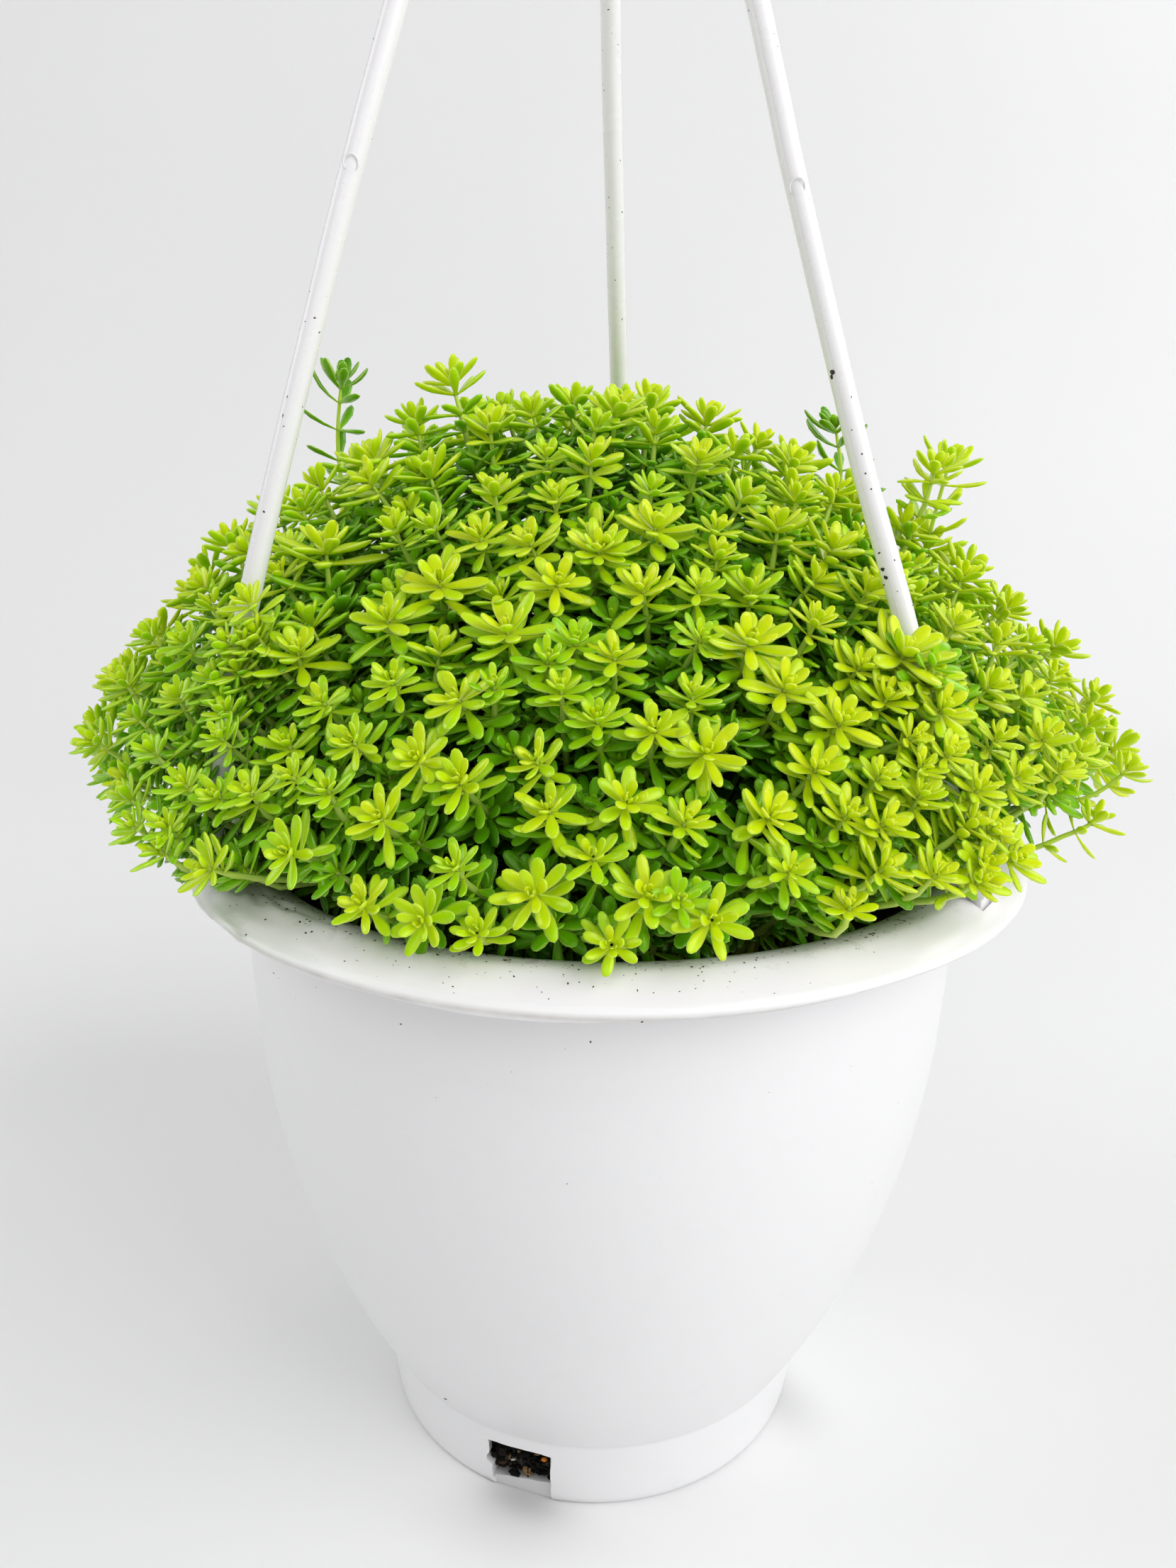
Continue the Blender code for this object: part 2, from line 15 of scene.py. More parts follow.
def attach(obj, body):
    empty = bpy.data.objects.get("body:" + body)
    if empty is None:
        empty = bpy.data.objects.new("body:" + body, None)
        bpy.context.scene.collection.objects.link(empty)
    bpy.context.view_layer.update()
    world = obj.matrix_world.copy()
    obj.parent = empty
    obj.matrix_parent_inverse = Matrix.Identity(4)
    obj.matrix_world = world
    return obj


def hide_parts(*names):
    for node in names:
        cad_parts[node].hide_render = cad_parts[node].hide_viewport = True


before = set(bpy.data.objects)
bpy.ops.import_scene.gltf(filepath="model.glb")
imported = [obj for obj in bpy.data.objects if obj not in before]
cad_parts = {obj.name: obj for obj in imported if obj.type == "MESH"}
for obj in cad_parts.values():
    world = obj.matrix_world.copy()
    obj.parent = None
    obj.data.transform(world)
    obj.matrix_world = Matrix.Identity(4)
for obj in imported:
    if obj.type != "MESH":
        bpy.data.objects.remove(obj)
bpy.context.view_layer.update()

MM = 0.001
random.seed(4127)
GOLD = math.radians(137.508)

# ---------------------------------------------------------------- sizes shared with the part (mm)
RIM_LEAN, RIM_SHIFT = 0.0083, 1.1
BODY = ((18.6, 51.9), (30.0, 57.9), (42.5, 63.3), (55.0, 67.6), (69.0, 71.6),
        (84.0, 74.6), (100.0, 76.5), (116.0, 77.3), (127.0, 77.15), (136.0, 76.6))
WALL = 1.7
SLOT_AZ, SLOT_WIDTH, SLOT_LOW, SLOT_HIGH = 252.0, 14.0, 4.2, 13.2
ARM_AZ = (86.0, 206.0, 326.0)
CLIP_R = 84.4
HUB = (-5.0, -2.0, 382.0)
HOOK_R, HOOK_BAR = 13.0, 2.5
SOIL_Z = 131.5
DOME_AT = (-4.0, 14.0)
DOME_Z0, DOME_H = 147.0, 86.5
DOME_P_SIDE, DOME_P_SKEW, DOME_P_FRONT = 1.58, 0.10, 1.32
DOME_SIDE, DOME_SKEW, DOME_BACK_CUT, DOME_FRONT_CUT = 119.0, 6.0, 25.0, 19.0

# ---------------------------------------------------------------- camera
EYE = Vector((0.0, -260.5, 226.3))
FORWARD = Vector((-0.01105, 0.95965, -0.28100)).normalized()
RIGHT = Vector((0.99980, 0.01525, 0.01273))
RIGHT = (RIGHT - FORWARD * RIGHT.dot(FORWARD)).normalized()
UP = RIGHT.cross(FORWARD).normalized()
FOCAL_PX = 1718.0
MID = (829.5, 1106.0)


def ray(px, py):
    return (FORWARD + RIGHT * ((px - MID[0]) / FOCAL_PX) - UP * ((py - MID[1]) / FOCAL_PX)).normalized()


def pixel(p):
    d = Vector(p) - EYE
    w = d.dot(FORWARD)
    return MID[0] + FOCAL_PX * d.dot(RIGHT) / w, MID[1] - FOCAL_PX * d.dot(UP) / w, w


cam_data = bpy.data.cameras.new("camera")
cam_data.sensor_fit = "HORIZONTAL"
cam_data.sensor_width = 36.0
cam_data.lens = 36.0 * FOCAL_PX / 1659.0
cam_data.clip_start, cam_data.clip_end = 0.01, 30.0
camera = bpy.data.objects.new("camera", cam_data)
bpy.context.scene.collection.objects.link(camera)
m = Matrix((RIGHT, UP, -FORWARD)).transposed().to_4x4()
m.translation = EYE * MM
camera.matrix_world = m
bpy.context.scene.camera = camera
bpy.context.scene.view_settings.view_transform = "Standard"
bpy.context.scene.view_settings.look = "None"


# ---------------------------------------------------------------- node helpers
class Nodes:
    """Small shorthand for building a Principled material."""

    def __init__(self, name):
        self.mat = bpy.data.materials.new(name)
        self.mat.use_nodes = True
        self.t = self.mat.node_tree
        self.bsdf = self.t.nodes["Principled BSDF"]

    def node(self, kind, **values):
        n = self.t.nodes.new(kind)
        for k, v in values.items():
            setattr(n, k, v)
        return n

    def link(self, a, b):
        self.t.links.new(a, b)

    def put(self, socket, value):
        if hasattr(value, "is_linked") or hasattr(value, "links"):
            self.link(value, socket)
        else:
            socket.default_value = value

    def math(self, op, a, b=None, c=None, clamp=False):
        n = self.node("ShaderNodeMath", operation=op, use_clamp=clamp)
        self.put(n.inputs[0], a)
        if b is not None:
            self.put(n.inputs[1], b)
        if c is not None:
            self.put(n.inputs[2], c)
        return n.outputs[0]

    def mix(self, f, a, b, mode="MIX"):
        n = self.node("ShaderNodeMix", data_type="RGBA", blend_type=mode)
        self.put(n.inputs[0], f)
        self.put(n.inputs[6], a if not isinstance(a, tuple) else (*a, 1.0))
        self.put(n.inputs[7], b if not isinstance(b, tuple) else (*b, 1.0))
        return n.outputs[2]

    def ramp(self, f, stops, smooth=False):
        n = self.node("ShaderNodeValToRGB")
        n.color_ramp.interpolation = "EASE" if smooth else "LINEAR"
        e = n.color_ramp.elements
        while len(e) < len(stops):
            e.new(0.5)
        for el, (pos, col) in zip(e, stops):
            el.position = pos
            el.color = (*col, 1.0) if isinstance(col, tuple) else (col, col, col, 1.0)
        self.put(n.inputs[0], f)
        return n.outputs[0]

    def where(self):
        return self.node("ShaderNodeTexCoord").outputs["Object"]

    def noise(self, scale, detail=3.0, rough=0.5, vec=None, distort=0.0):
        n = self.node("ShaderNodeTexNoise")
        n.inputs["Scale"].default_value = scale
        n.inputs["Detail"].default_value = detail
        n.inputs["Roughness"].default_value = rough
        n.inputs["Distortion"].default_value = distort
        self.link(vec if vec is not None else self.where(), n.inputs["Vector"])
        return n.outputs["Fac"]

    def cells(self, scale, vec=None, feature="F1"):
        n = self.node("ShaderNodeTexVoronoi", feature=feature)
        n.inputs["Scale"].default_value = scale
        self.link(vec if vec is not None else self.where(), n.inputs["Vector"])
        return n

    def attribute(self, name):
        return self.node("ShaderNodeAttribute", attribute_name=name)

    def split(self, colour):
        n = self.node("ShaderNodeSeparateColor")
        self.link(colour, n.inputs[0])
        return n.outputs

    def bump(self, height, strength, distance):
        n = self.node("ShaderNodeBump")
        n.inputs["Strength"].default_value = strength
        n.inputs["Distance"].default_value = distance
        self.link(height, n.inputs["Height"])
        self.link(n.outputs[0], self.bsdf.inputs["Normal"])


# ---------------------------------------------------------------- materials
def leaf_material():
    n = Nodes("sedum_leaf_wax")
    b = n.bsdf
    data = n.attribute("leaf")
    age, rnd, along = n.split(data.outputs["Color"])[:3]
    edge = data.outputs["Alpha"]
    side = n.attribute("leaf_side_and_shade")
    upper, stem, deep = n.split(side.outputs["Color"])[:3]
    patch = n.noise(420.0, 3.0, 0.6)
    fine = n.noise(2600.0, 2.0, 0.6)
    # painted shade: depth in the cushion also pushes the tone towards darker green
    tone = n.math("ADD", n.math("ADD", age, n.math("MULTIPLY", deep, 0.30)), n.math("MULTIPLY", n.math("SUBTRACT", rnd, 0.5), 0.12))
    tone = n.math("ADD", tone, n.math("MULTIPLY", n.math("SUBTRACT", n.math("MULTIPLY", along, along), 0.40), 0.13))
    tone = n.math("ADD", tone, n.math("MULTIPLY", n.math("SUBTRACT", patch, 0.5), 0.18), clamp=True)
    skin = n.ramp(tone, ((0.0, (0.730, 0.865, 0.0032)), (0.06, (0.640, 0.795, 0.0028)), (0.20, (0.510, 0.775, 0.0020)), (0.40, (0.278, 0.640, 0.0014)),
                         (0.66, (0.108, 0.380, 0.0012)), (1.0, (0.029, 0.156, 0.0016))))
    # the underside is paler and cooler, the foot of a leaf paler still
    skin = n.mix(n.math("MULTIPLY", n.math("SUBTRACT", 1.0, upper), 0.20), skin, (0.40, 0.60, 0.020))
    foot = n.math("MULTIPLY", n.math("POWER", n.math("SUBTRACT", 1.0, along), 5.0), 0.40)
    skin = n.mix(foot, skin, (0.56, 0.72, 0.03))
    # thin pale margin: painted sheen where the waxy edge catches the light, weaker where the leaf lies in painted shade
    rim = n.math("MULTIPLY", n.math("POWER", edge, 17.0), n.math("ADD", 0.35, n.math("MULTIPLY", fine, 0.8)), clamp=True)
    rim = n.math("MULTIPLY", rim, n.math("SUBTRACT", 1.0, n.math("MULTIPLY", deep, 0.7)))
    skin = n.mix(rim, skin, (0.90, 0.97, 0.42))
    # painted glints: small pale points where the waxy skin would sparkle
    painted_glints = n.math("MULTIPLY", n.math("GREATER_THAN", fine, 0.67), 0.12)
    skin = n.mix(painted_glints, skin, (0.82, 0.92, 0.30))
    stalk = n.ramp(n.math("ADD", age, n.math("MULTIPLY", n.math("SUBTRACT", patch, 0.5), 0.4), clamp=True),
                   ((0.0, (0.52, 0.70, 0.09)), (0.35, (0.46, 0.60, 0.12)), (1.0, (0.24, 0.31, 0.05))))
    skin = n.mix(stem, skin, stalk)
    # painted shade: leaves deep in the cushion are darkened and made greener, less so where more light falls
    dark = n.mix(n.math("MULTIPLY", deep, 0.95), (1.0, 1.0, 1.0), (0.265, 0.63, 0.20))
    n.link(n.mix(1.0, skin, dark, "MULTIPLY"), b.inputs["Base Color"])
    rough = n.math("ADD", 0.16, n.math("MULTIPLY", fine, 0.14))
    n.link(rough, b.inputs["Roughness"])
    b.inputs["Subsurface Weight"].default_value = 0.42
    b.inputs["Subsurface Radius"].default_value = (0.9, 1.0, 0.06)
    b.inputs["Subsurface Scale"].default_value = 0.0017
    b.inputs["IOR"].default_value = 1.40
    b.inputs["Specular IOR Level"].default_value = 0.85
    b.inputs["Specular Tint"].default_value = (0.96, 1.0, 0.50, 1.0)
    b.inputs["Sheen Weight"].default_value = 0.16
    b.inputs["Sheen Roughness"].default_value = 0.35
    b.inputs["Sheen Tint"].default_value = (0.80, 1.0, 0.12, 1.0)
    n.bump(n.math("ADD", n.math("MULTIPLY", fine, 0.5), patch), 0.22, 0.0002)
    return n.mat


def plastic_material(name, base, rough, pot):
    """White moulded plastic with soft mottling, faint scuffs and grime, with painted light and shade on the pot."""
    n = Nodes(name)
    b = n.bsdf
    pos = n.where()
    xyz = n.node("ShaderNodeSeparateXYZ")
    n.link(pos, xyz.inputs[0])
    z = n.math("MULTIPLY", xyz.outputs[2], 1000.0)
    cloud = n.noise(14.0, 4.0, 0.55)
    mid = n.noise(120.0, 4.0, 0.6)
    fine = n.noise(900.0, 3.0, 0.6)
    col = n.mix(n.math("MULTIPLY", cloud, 0.5), base, tuple(c * 0.955 for c in base))
    col = n.mix(n.math("MULTIPLY", n.math("GREATER_THAN", mid, 0.62), 0.05), col, (0.70, 0.71, 0.72))
    if pot:
        # painted light: the pot is made paler from the upper body to the rim, against the shade of the foliage above
        painted_light_upper = n.math("MULTIPLY", n.math("SUBTRACT", z, 118.0), 0.05, clamp=True)
        col = n.mix(n.math("MULTIPLY", painted_light_upper, 0.75), col, (0.945, 0.940, 0.946))
        # painted light: the rim's top is made paler and faintly pink against the shade and green light of the foliage;
        # it is also glossier
        top = n.math("MULTIPLY", n.math("SUBTRACT", z, 138.6), 0.45, clamp=True)
        col = n.mix(n.math("MULTIPLY", top, 0.85), col, (0.985, 0.932, 1.0))
        # thin broken darker line where the rim's skirt meets the body: partly dirt, partly painted shade under the
        # skirt's edge
        line = n.math("SUBTRACT", 1.0, n.math("MULTIPLY", n.math("ABSOLUTE", n.math("SUBTRACT", z, 137.9)), 1.1), clamp=True)
        grime_and_shade_line = n.math("MULTIPLY", line, n.math("MULTIPLY", mid, 0.9), clamp=True)
        col = n.mix(grime_and_shade_line, col, (0.40, 0.38, 0.34))
        # pale green patches inside the rim, a painted green light from the foliage, and brown stains
        inside = n.attribute("inside").outputs["Fac"]
        painted_green_light = n.math("MULTIPLY", n.math("GREATER_THAN", inside, 0.9), n.math("MULTIPLY", mid, 0.60))
        col = n.mix(painted_green_light, col, (0.78, 0.86, 0.64))
        stain = n.math("MULTIPLY", inside, n.math("MULTIPLY", n.math("GREATER_THAN", n.noise(210.0, 5.0, 0.7), 0.585), 0.55))
        col = n.mix(stain, col, (0.34, 0.30, 0.20))
        # painted shade: a faint darker line along the crease at the foot's seam
        foot = n.math("SUBTRACT", 1.0, n.math("MULTIPLY", n.math("ABSOLUTE", n.math("SUBTRACT", z, 18.2)), 2.6), clamp=True)
        col = n.mix(n.math("MULTIPLY", foot, 0.10), col, (0.55, 0.56, 0.58))
    # soil colour: real crumbs of soil, and painted shade on the faces inside the drain slot
    dirt = n.attribute("dirt").outputs["Fac"]
    soil = n.mix(fine, (0.014, 0.010, 0.007), (0.060, 0.045, 0.030))
    col = n.mix(dirt, col, soil)
    n.link(col, b.inputs["Base Color"])
    gloss = n.math("MULTIPLY", top, 0.18) if pot else 0.0
    n.link(n.math("ADD", n.math("SUBTRACT", n.math("ADD", rough, n.math("MULTIPLY", mid, 0.10)), gloss), n.math("MULTIPLY", dirt, 0.4)), b.inputs["Roughness"])
    b.inputs["Subsurface Weight"].default_value = 0.12
    b.inputs["Subsurface Radius"].default_value = (1.0, 0.95, 0.9)
    b.inputs["Subsurface Scale"].default_value = 0.002
    n.bump(n.math("ADD", n.math("MULTIPLY", fine, 0.25), n.math("MULTIPLY", mid, 0.6)), 0.10, 0.0004)
    return n.mat


def mix_material():
    n = Nodes("potting_mix_crumbly")
    b = n.bsdf
    bits = n.attribute("bits")
    clod = n.noise(260.0, 5.0, 0.65)
    grain = n.noise(1500.0, 3.0, 0.7)
    col = n.ramp(clod, ((0.3, (0.008, 0.006, 0.004)), (0.55, (0.028, 0.019, 0.012)), (0.75, (0.075, 0.050, 0.030))))
    col = n.mix(n.math("GREATER_THAN", grain, 0.68), col, (0.16, 0.11, 0.06))
    col = n.mix(bits.outputs["Alpha"], col, bits.outputs["Color"])
    n.link(col, b.inputs["Base Color"])
    n.link(n.math("ADD", 0.70, n.math("MULTIPLY", grain, 0.25)), b.inputs["Roughness"])
    b.inputs["Specular IOR Level"].default_value = 0.12
    n.bump(n.math("ADD", clod, n.math("MULTIPLY", grain, 0.4)), 0.8, 0.0008)
    return n.mat


def floor_material():
    n = Nodes("pale_paper")
    b = n.bsdf
    cloud = n.noise(3.0, 2.0, 0.5)
    tooth = n.noise(700.0, 2.0, 0.5)
    col = n.mix(cloud, (0.80, 0.80, 0.805), (0.83, 0.83, 0.835))
    col = n.mix(n.math("MULTIPLY", tooth, 0.03), col, (0.70, 0.70, 0.70))
    pos = n.where()
    # painted shadows: soft dark patches on the paper under the drain slot and to the right of the foot
    for px, py, wide, long_, turn, depth in ((742, 2114, 0.0105, 0.0052, 0.34, 0.42), (715, 2150, 0.019, 0.0085, 0.2, 0.16), (1098, 1972, 0.0075, 0.012, -0.5, 0.24)):
        d = ray(px, py)
        shadow_spot = EYE + d * (-EYE.z / d.z)
        m = n.node("ShaderNodeMapping", vector_type="TEXTURE")
        m.inputs["Location"].default_value = (shadow_spot.x * MM, shadow_spot.y * MM, 0.0)
        m.inputs["Rotation"].default_value = (0.0, 0.0, -turn)
        m.inputs["Scale"].default_value = (wide, long_, 1.0)
        n.link(pos, m.inputs["Vector"])
        far = n.node("ShaderNodeVectorMath", operation="DOT_PRODUCT")
        n.link(m.outputs[0], far.inputs[0])
        n.link(m.outputs[0], far.inputs[1])
        painted_shadow = n.math("MULTIPLY", n.math("EXPONENT", n.math("MULTIPLY", far.outputs["Value"], -1.0)), depth)
        col = n.mix(painted_shadow, col, (0.16, 0.16, 0.165))
    n.link(col, b.inputs["Base Color"])
    b.inputs["Roughness"].default_value = 0.75
    b.inputs["Specular IOR Level"].default_value = 0.25
    return n.mat


LEAF = leaf_material()
POT_PLASTIC = plastic_material("white_pot_moulding", (0.86, 0.86, 0.868), 0.30, True)
# the hanger's white is faintly pink, painted against the green light the foliage throws on it
ARM_PLASTIC = plastic_material("white_hanger_moulding", (0.885, 0.870, 0.888), 0.22, False)
MIX = mix_material()
PAPER = floor_material()


# ---------------------------------------------------------------- mesh helpers
class Build:
    """Collects points in millimetres, faces and per-point attributes for one piece."""

    def __init__(self):
        self.v, self.f, self.uv, self.n = [], [], [], 0
        self.extra = {}

    def add(self, verts, faces, **extra):
        verts = np.asarray(verts, float).reshape(-1, 3)
        self.v.append(verts)
        self.f += [tuple(int(i) + self.n for i in f) for f in faces]
        for k in set(self.extra) | set(extra):
            rows = self.extra.setdefault(k, [])
            have = sum(len(r) for r in rows)
            if have < self.n:
                width = 4 if (k in extra and np.ndim(extra[k]) > 1) or (rows and rows[0].ndim > 1) else 1
                rows.append(np.zeros((self.n - have, 4)) if width == 4 else np.zeros(self.n - have))
            if k in extra:
                val = np.asarray(extra[k], float)
                if val.ndim == 0:
                    val = np.full(len(verts), float(val))
                rows.append(val)
            else:
                rows.append(np.zeros((len(verts), 4)) if rows[0].ndim > 1 else np.zeros(len(verts)))
        self.n += len(verts)

    def piece(self, name, mat, smooth=None):
        mesh = bpy.data.meshes.new(name)
        mesh.from_pydata((np.concatenate(self.v) * MM).tolist(), [], self.f)
        for k, rows in self.extra.items():
            data = np.concatenate(rows)
            if data.ndim > 1:
                a = mesh.color_attributes.new(k, "FLOAT_COLOR", "POINT")
                a.data.foreach_set("color", data.astype(np.float32).ravel())
            else:
                a = mesh.attributes.new(k, "FLOAT", "POINT")
                a.data.foreach_set("value", data.astype(np.float32))
        mesh.materials.append(mat)
        mesh.shade_smooth()
        if smooth is not None:
            mesh.set_sharp_from_angle(angle=math.radians(smooth))
        ob = bpy.data.objects.new(name, mesh)
        bpy.context.scene.collection.objects.link(ob)
        return ob


def turned(profile, sides, shape=None, start=0.0):
    verts, rings, faces = [], [], []
    for r, z in profile:
        ring = []
        if r < 1e-6:
            rings.append([len(verts)])
            verts.append((0.0, 0.0, z))
            continue
        for i in range(sides):
            a = start + 2 * math.pi * i / sides
            p = (r * math.cos(a), r * math.sin(a), z)
            ring.append(len(verts))
            verts.append(shape(p, r, z) if shape else p)
        rings.append(ring)
    for a, b in zip(rings, rings[1:]):
        for i in range(sides):
            j = (i + 1) % sides
            if len(a) == 1:
                faces.append((a[0], b[i], b[j]))
            elif len(b) == 1:
                faces.append((a[i], a[j], b[0]))
            else:
                faces.append((a[i], a[j], b[j], b[i]))
    return verts, faces


def frames(path):
    tangents = [(path[min(i + 1, len(path) - 1)] - path[max(i - 1, 0)]).normalized() for i in range(len(path))]
    side = tangents[0].cross(Vector((0.31, 0.27, 0.91)))
    if side.length < 1e-3:
        side = tangents[0].cross(Vector((1, 0, 0)))
    side.normalize()
    out = []
    for t in tangents:
        side = (side - t * side.dot(t)).normalized()
        out.append((side.copy(), t.cross(side).normalized(), t))
    return out


def tube(path, radii, sides, caps=True):
    verts, faces, rings = [], [], []
    for p, (s, u, t), r in zip(path, frames(path), radii):
        rings.append(list(range(len(verts), len(verts) + sides)))
        for k in range(sides):
            a = 2 * math.pi * k / sides
            verts.append(tuple(p + s * (r * math.cos(a)) + u * (r * math.sin(a))))
    for a, b in zip(rings, rings[1:]):
        for i in range(sides):
            j = (i + 1) % sides
            faces.append((a[i], a[j], b[j], b[i]))
    if caps:
        faces.append(tuple(reversed(rings[0])))
        faces.append(tuple(rings[-1]))
    return verts, faces


def smooth_path(points, count):
    pts = [Vector(p) for p in points]
    pts = [pts[0] * 2 - pts[1]] + pts + [pts[-1] * 2 - pts[-2]]
    fine = []
    for i in range(1, len(pts) - 2):
        p0, p1, p2, p3 = pts[i - 1:i + 3]
        for k in range(24):
            t = k / 24
            fine.append(0.5 * (2 * p1 + (p2 - p0) * t + (2 * p0 - 5 * p1 + 4 * p2 - p3) * t * t
                               + (3 * p1 - p0 - 3 * p2 + p3) * t ** 3))
    fine.append(pts[-2])
    along = [0.0]
    for a, b in zip(fine, fine[1:]):
        along.append(along[-1] + (b - a).length)
    out, i = [], 0
    for k in range(count):
        want = along[-1] * k / (count - 1)
        while i < len(fine) - 2 and along[i + 1] < want:
            i += 1
        f = (want - along[i]) / max(1e-9, along[i + 1] - along[i])
        out.append(fine[i].lerp(fine[i + 1], min(1.0, max(0.0, f))))
    return out


# ---------------------------------------------------------------- pot
def rim_true(p, r, z):
    f = min(1.0, max(0.0, (z - 122.0) / 14.0))
    return (p[0] + f * RIM_SHIFT, p[1], p[2] + f * RIM_LEAN * p[0])


def spline(points, per):
    """Rounded reading of a profile given as (r, z)."""
    pts = [np.array(p, float) for p in points]
    pts = [2 * pts[0] - pts[1]] + pts + [2 * pts[-1] - pts[-2]]
    out = []
    for i in range(1, len(pts) - 2):
        p0, p1, p2, p3 = pts[i - 1:i + 3]
        for k in range(per):
            t = k / per
            q = 0.5 * (2 * p1 + (p2 - p0) * t + (2 * p0 - 5 * p1 + 4 * p2 - p3) * t * t + (3 * p1 - p0 - 3 * p2 + p3) * t ** 3)
            out.append((float(q[0]), float(q[1])))
    out.append((float(pts[-2][0]), float(pts[-2][1])))
    return out


def body_r(z):
    for (z0, r0), (z1, r1) in zip(BODY, BODY[1:]):
        if z <= z1:
            return r0 + (r1 - r0) * (z - z0) / (z1 - z0)
    return BODY[-1][1]


def foot_r(z):
    return 48.9 + (51.3 - 48.9) * z / 18.0


def build_pot():
    foot = [(0.0, 2.0), (44.6, 2.0), (45.0, 1.8), (45.5, 0.2), (45.9, 0.0), (48.0, 0.0), (48.5, 0.15), (48.85, 0.6)]
    foot += [(foot_r(z), z) for z in (2, 4, 6, 8, 10, 12, 14, 15.6)]
    foot += [(51.05, 16.6), (51.15, 17.3), (51.3, 17.8), (51.65, 18.2), (51.98, 18.7)]
    outer = spline([(r, z) for z, r in BODY], 3)[1:]
    outer = [(r, z) for r, z in outer if z > 19.5]
    rim = spline([(76.6, 136.0), (76.8, 138.2), (77.9, 139.6), (80.6, 140.6), (84.2, 139.6), (86.9, 137.9)], 4)[1:]
    lip = spline([(86.9, 137.9), (88.2, 137.35), (88.9, 137.55), (89.05, 138.3), (88.4, 139.35), (86.6, 140.65), (84.2, 142.0),
                  (82.6, 142.75), (81.4, 143.0), (80.0, 142.9), (78.0, 142.5), (76.0, 141.8), (74.5, 141.0), (73.6, 140.0), (73.2, 138.8),
                  (73.7, 137.6), (75.2, 135.8)], 3)[1:]
    inner = [(r - WALL, z) for r, z in reversed([(r, z) for z, r in BODY[:-1]]) if z > 20.0]
    inner += [(50.3, 18.4), (49.3, 13.0), (48.3, 8.0), (46.0, 4.8), (43.5, 4.0), (0.0, 4.0)]
    sides = 144

    def true(p, r, z):
        # moulded skirt edge isn't perfectly even
        if 137.0 < z < 140.5 and r > 86.0:
            a = math.atan2(p[1], p[0])
            dz = 0.28 * math.sin(5 * a + 0.7) + 0.16 * math.sin(13 * a + 2.0) + 0.10 * noise.noise(Vector((p[0] * 0.12, p[1] * 0.12, 3.0)))
            p = (p[0], p[1], p[2] + dz * max(0.0, 1 - abs(z - 137.6) / 2.6))
        if z > 138.0 and r > 79.0:
            a = math.degrees(math.atan2(p[1], p[0])) % 360
            # uneven flow marks of the moulding, strongest at the left end, and a slightly fuller right end
            f = math.exp(-((a - 218.0) / 9.0) ** 2)
            w = 1.5 * f * noise.noise(Vector((p[0] * 0.50, p[1] * 0.50, p[2] * 0.3))) + 0.05 * noise.noise(Vector((p[0] * 0.2, p[1] * 0.2, 7.0)))
            g = 1 + (0.9 * math.exp(-(((a - 345.0 + 180) % 360 - 180) / 26.0) ** 2) + 0.5 * math.exp(-((a - 205.0) / 16.0) ** 2)) / 89.0
            p = (p[0] * g, p[1] * g, p[2] + w)
        return rim_true(p, r, z)
    verts, faces = turned(foot + outer + rim + lip + inner, sides, true)
    b = Build()
    inside = []
    for v in verts:
        r = math.hypot(v[0] - RIM_SHIFT, v[1])
        inside.append(0.0 if v[2] < 136.0 or r > 85.0 else (1.0 if r < 78.2 else 0.6 * (85.0 - r) / 6.8))
    b.add(verts, faces, inside=inside, dirt=0.0)
    pot = b.piece("planter_pot", POT_PLASTIC, 44)
    cutters = []
    a = math.radians(SLOT_AZ)
    r_dir, t_dir = Vector((math.cos(a), math.sin(a), 0)), Vector((-math.sin(a), math.cos(a), 0))
    # drain slot: ragged on its left edge, with a bevelled top and right edge
    outline = []
    half, lo, hi = SLOT_WIDTH / 2, SLOT_LOW, SLOT_HIGH
    rnd = random.Random(11)
    for k in range(9):
        outline.append((-half + (2 * half) * k / 8, lo - 2.2 * (1 - k / 8) + rnd.uniform(-0.2, 0.2), 0.2))
    for k in range(1, 7):
        outline.append((half + rnd.uniform(-0.05, 0.05), lo + (hi - lo) * k / 7, 1.0))
    for k in range(9):
        outline.append((half - (2 * half) * k / 8, hi + rnd.uniform(-0.12, 0.10), 1.0))
    for k in range(1, 9):
        f = 1 - k / 9
        x = -half + rnd.uniform(-0.35, 0.45) - (1.1 if 0.42 < f < 0.60 else 0.0)
        outline.append((x, lo - 2.0 + (hi - lo + 2.0) * f, 0.15))
    rings, verts, faces = [], [], []
    for r, grow in ((43.5, 0.0), (49.5, 0.0), (53.5, 3.0)):
        ring = []
        for x, z, bevel in outline:
            gx = grow * bevel * (1 if x > half * 0.9 else (0 if x > -half * 0.9 else -1))
            gz = grow * bevel * (1 if z > hi - 0.5 else 0)
            ring.append(len(verts))
            verts.append(tuple(r_dir * r + t_dir * (x + gx) + Vector((0, 0, z + gz))))
        rings.append(ring)
    for p, q in zip(rings, rings[1:]):
        for i in range(len(p)):
            j = (i + 1) % len(p)
            faces.append((p[i], p[j], q[j], q[i]))
    faces += [tuple(reversed(rings[0])), tuple(rings[-1])]
    cutters.append((verts, faces))
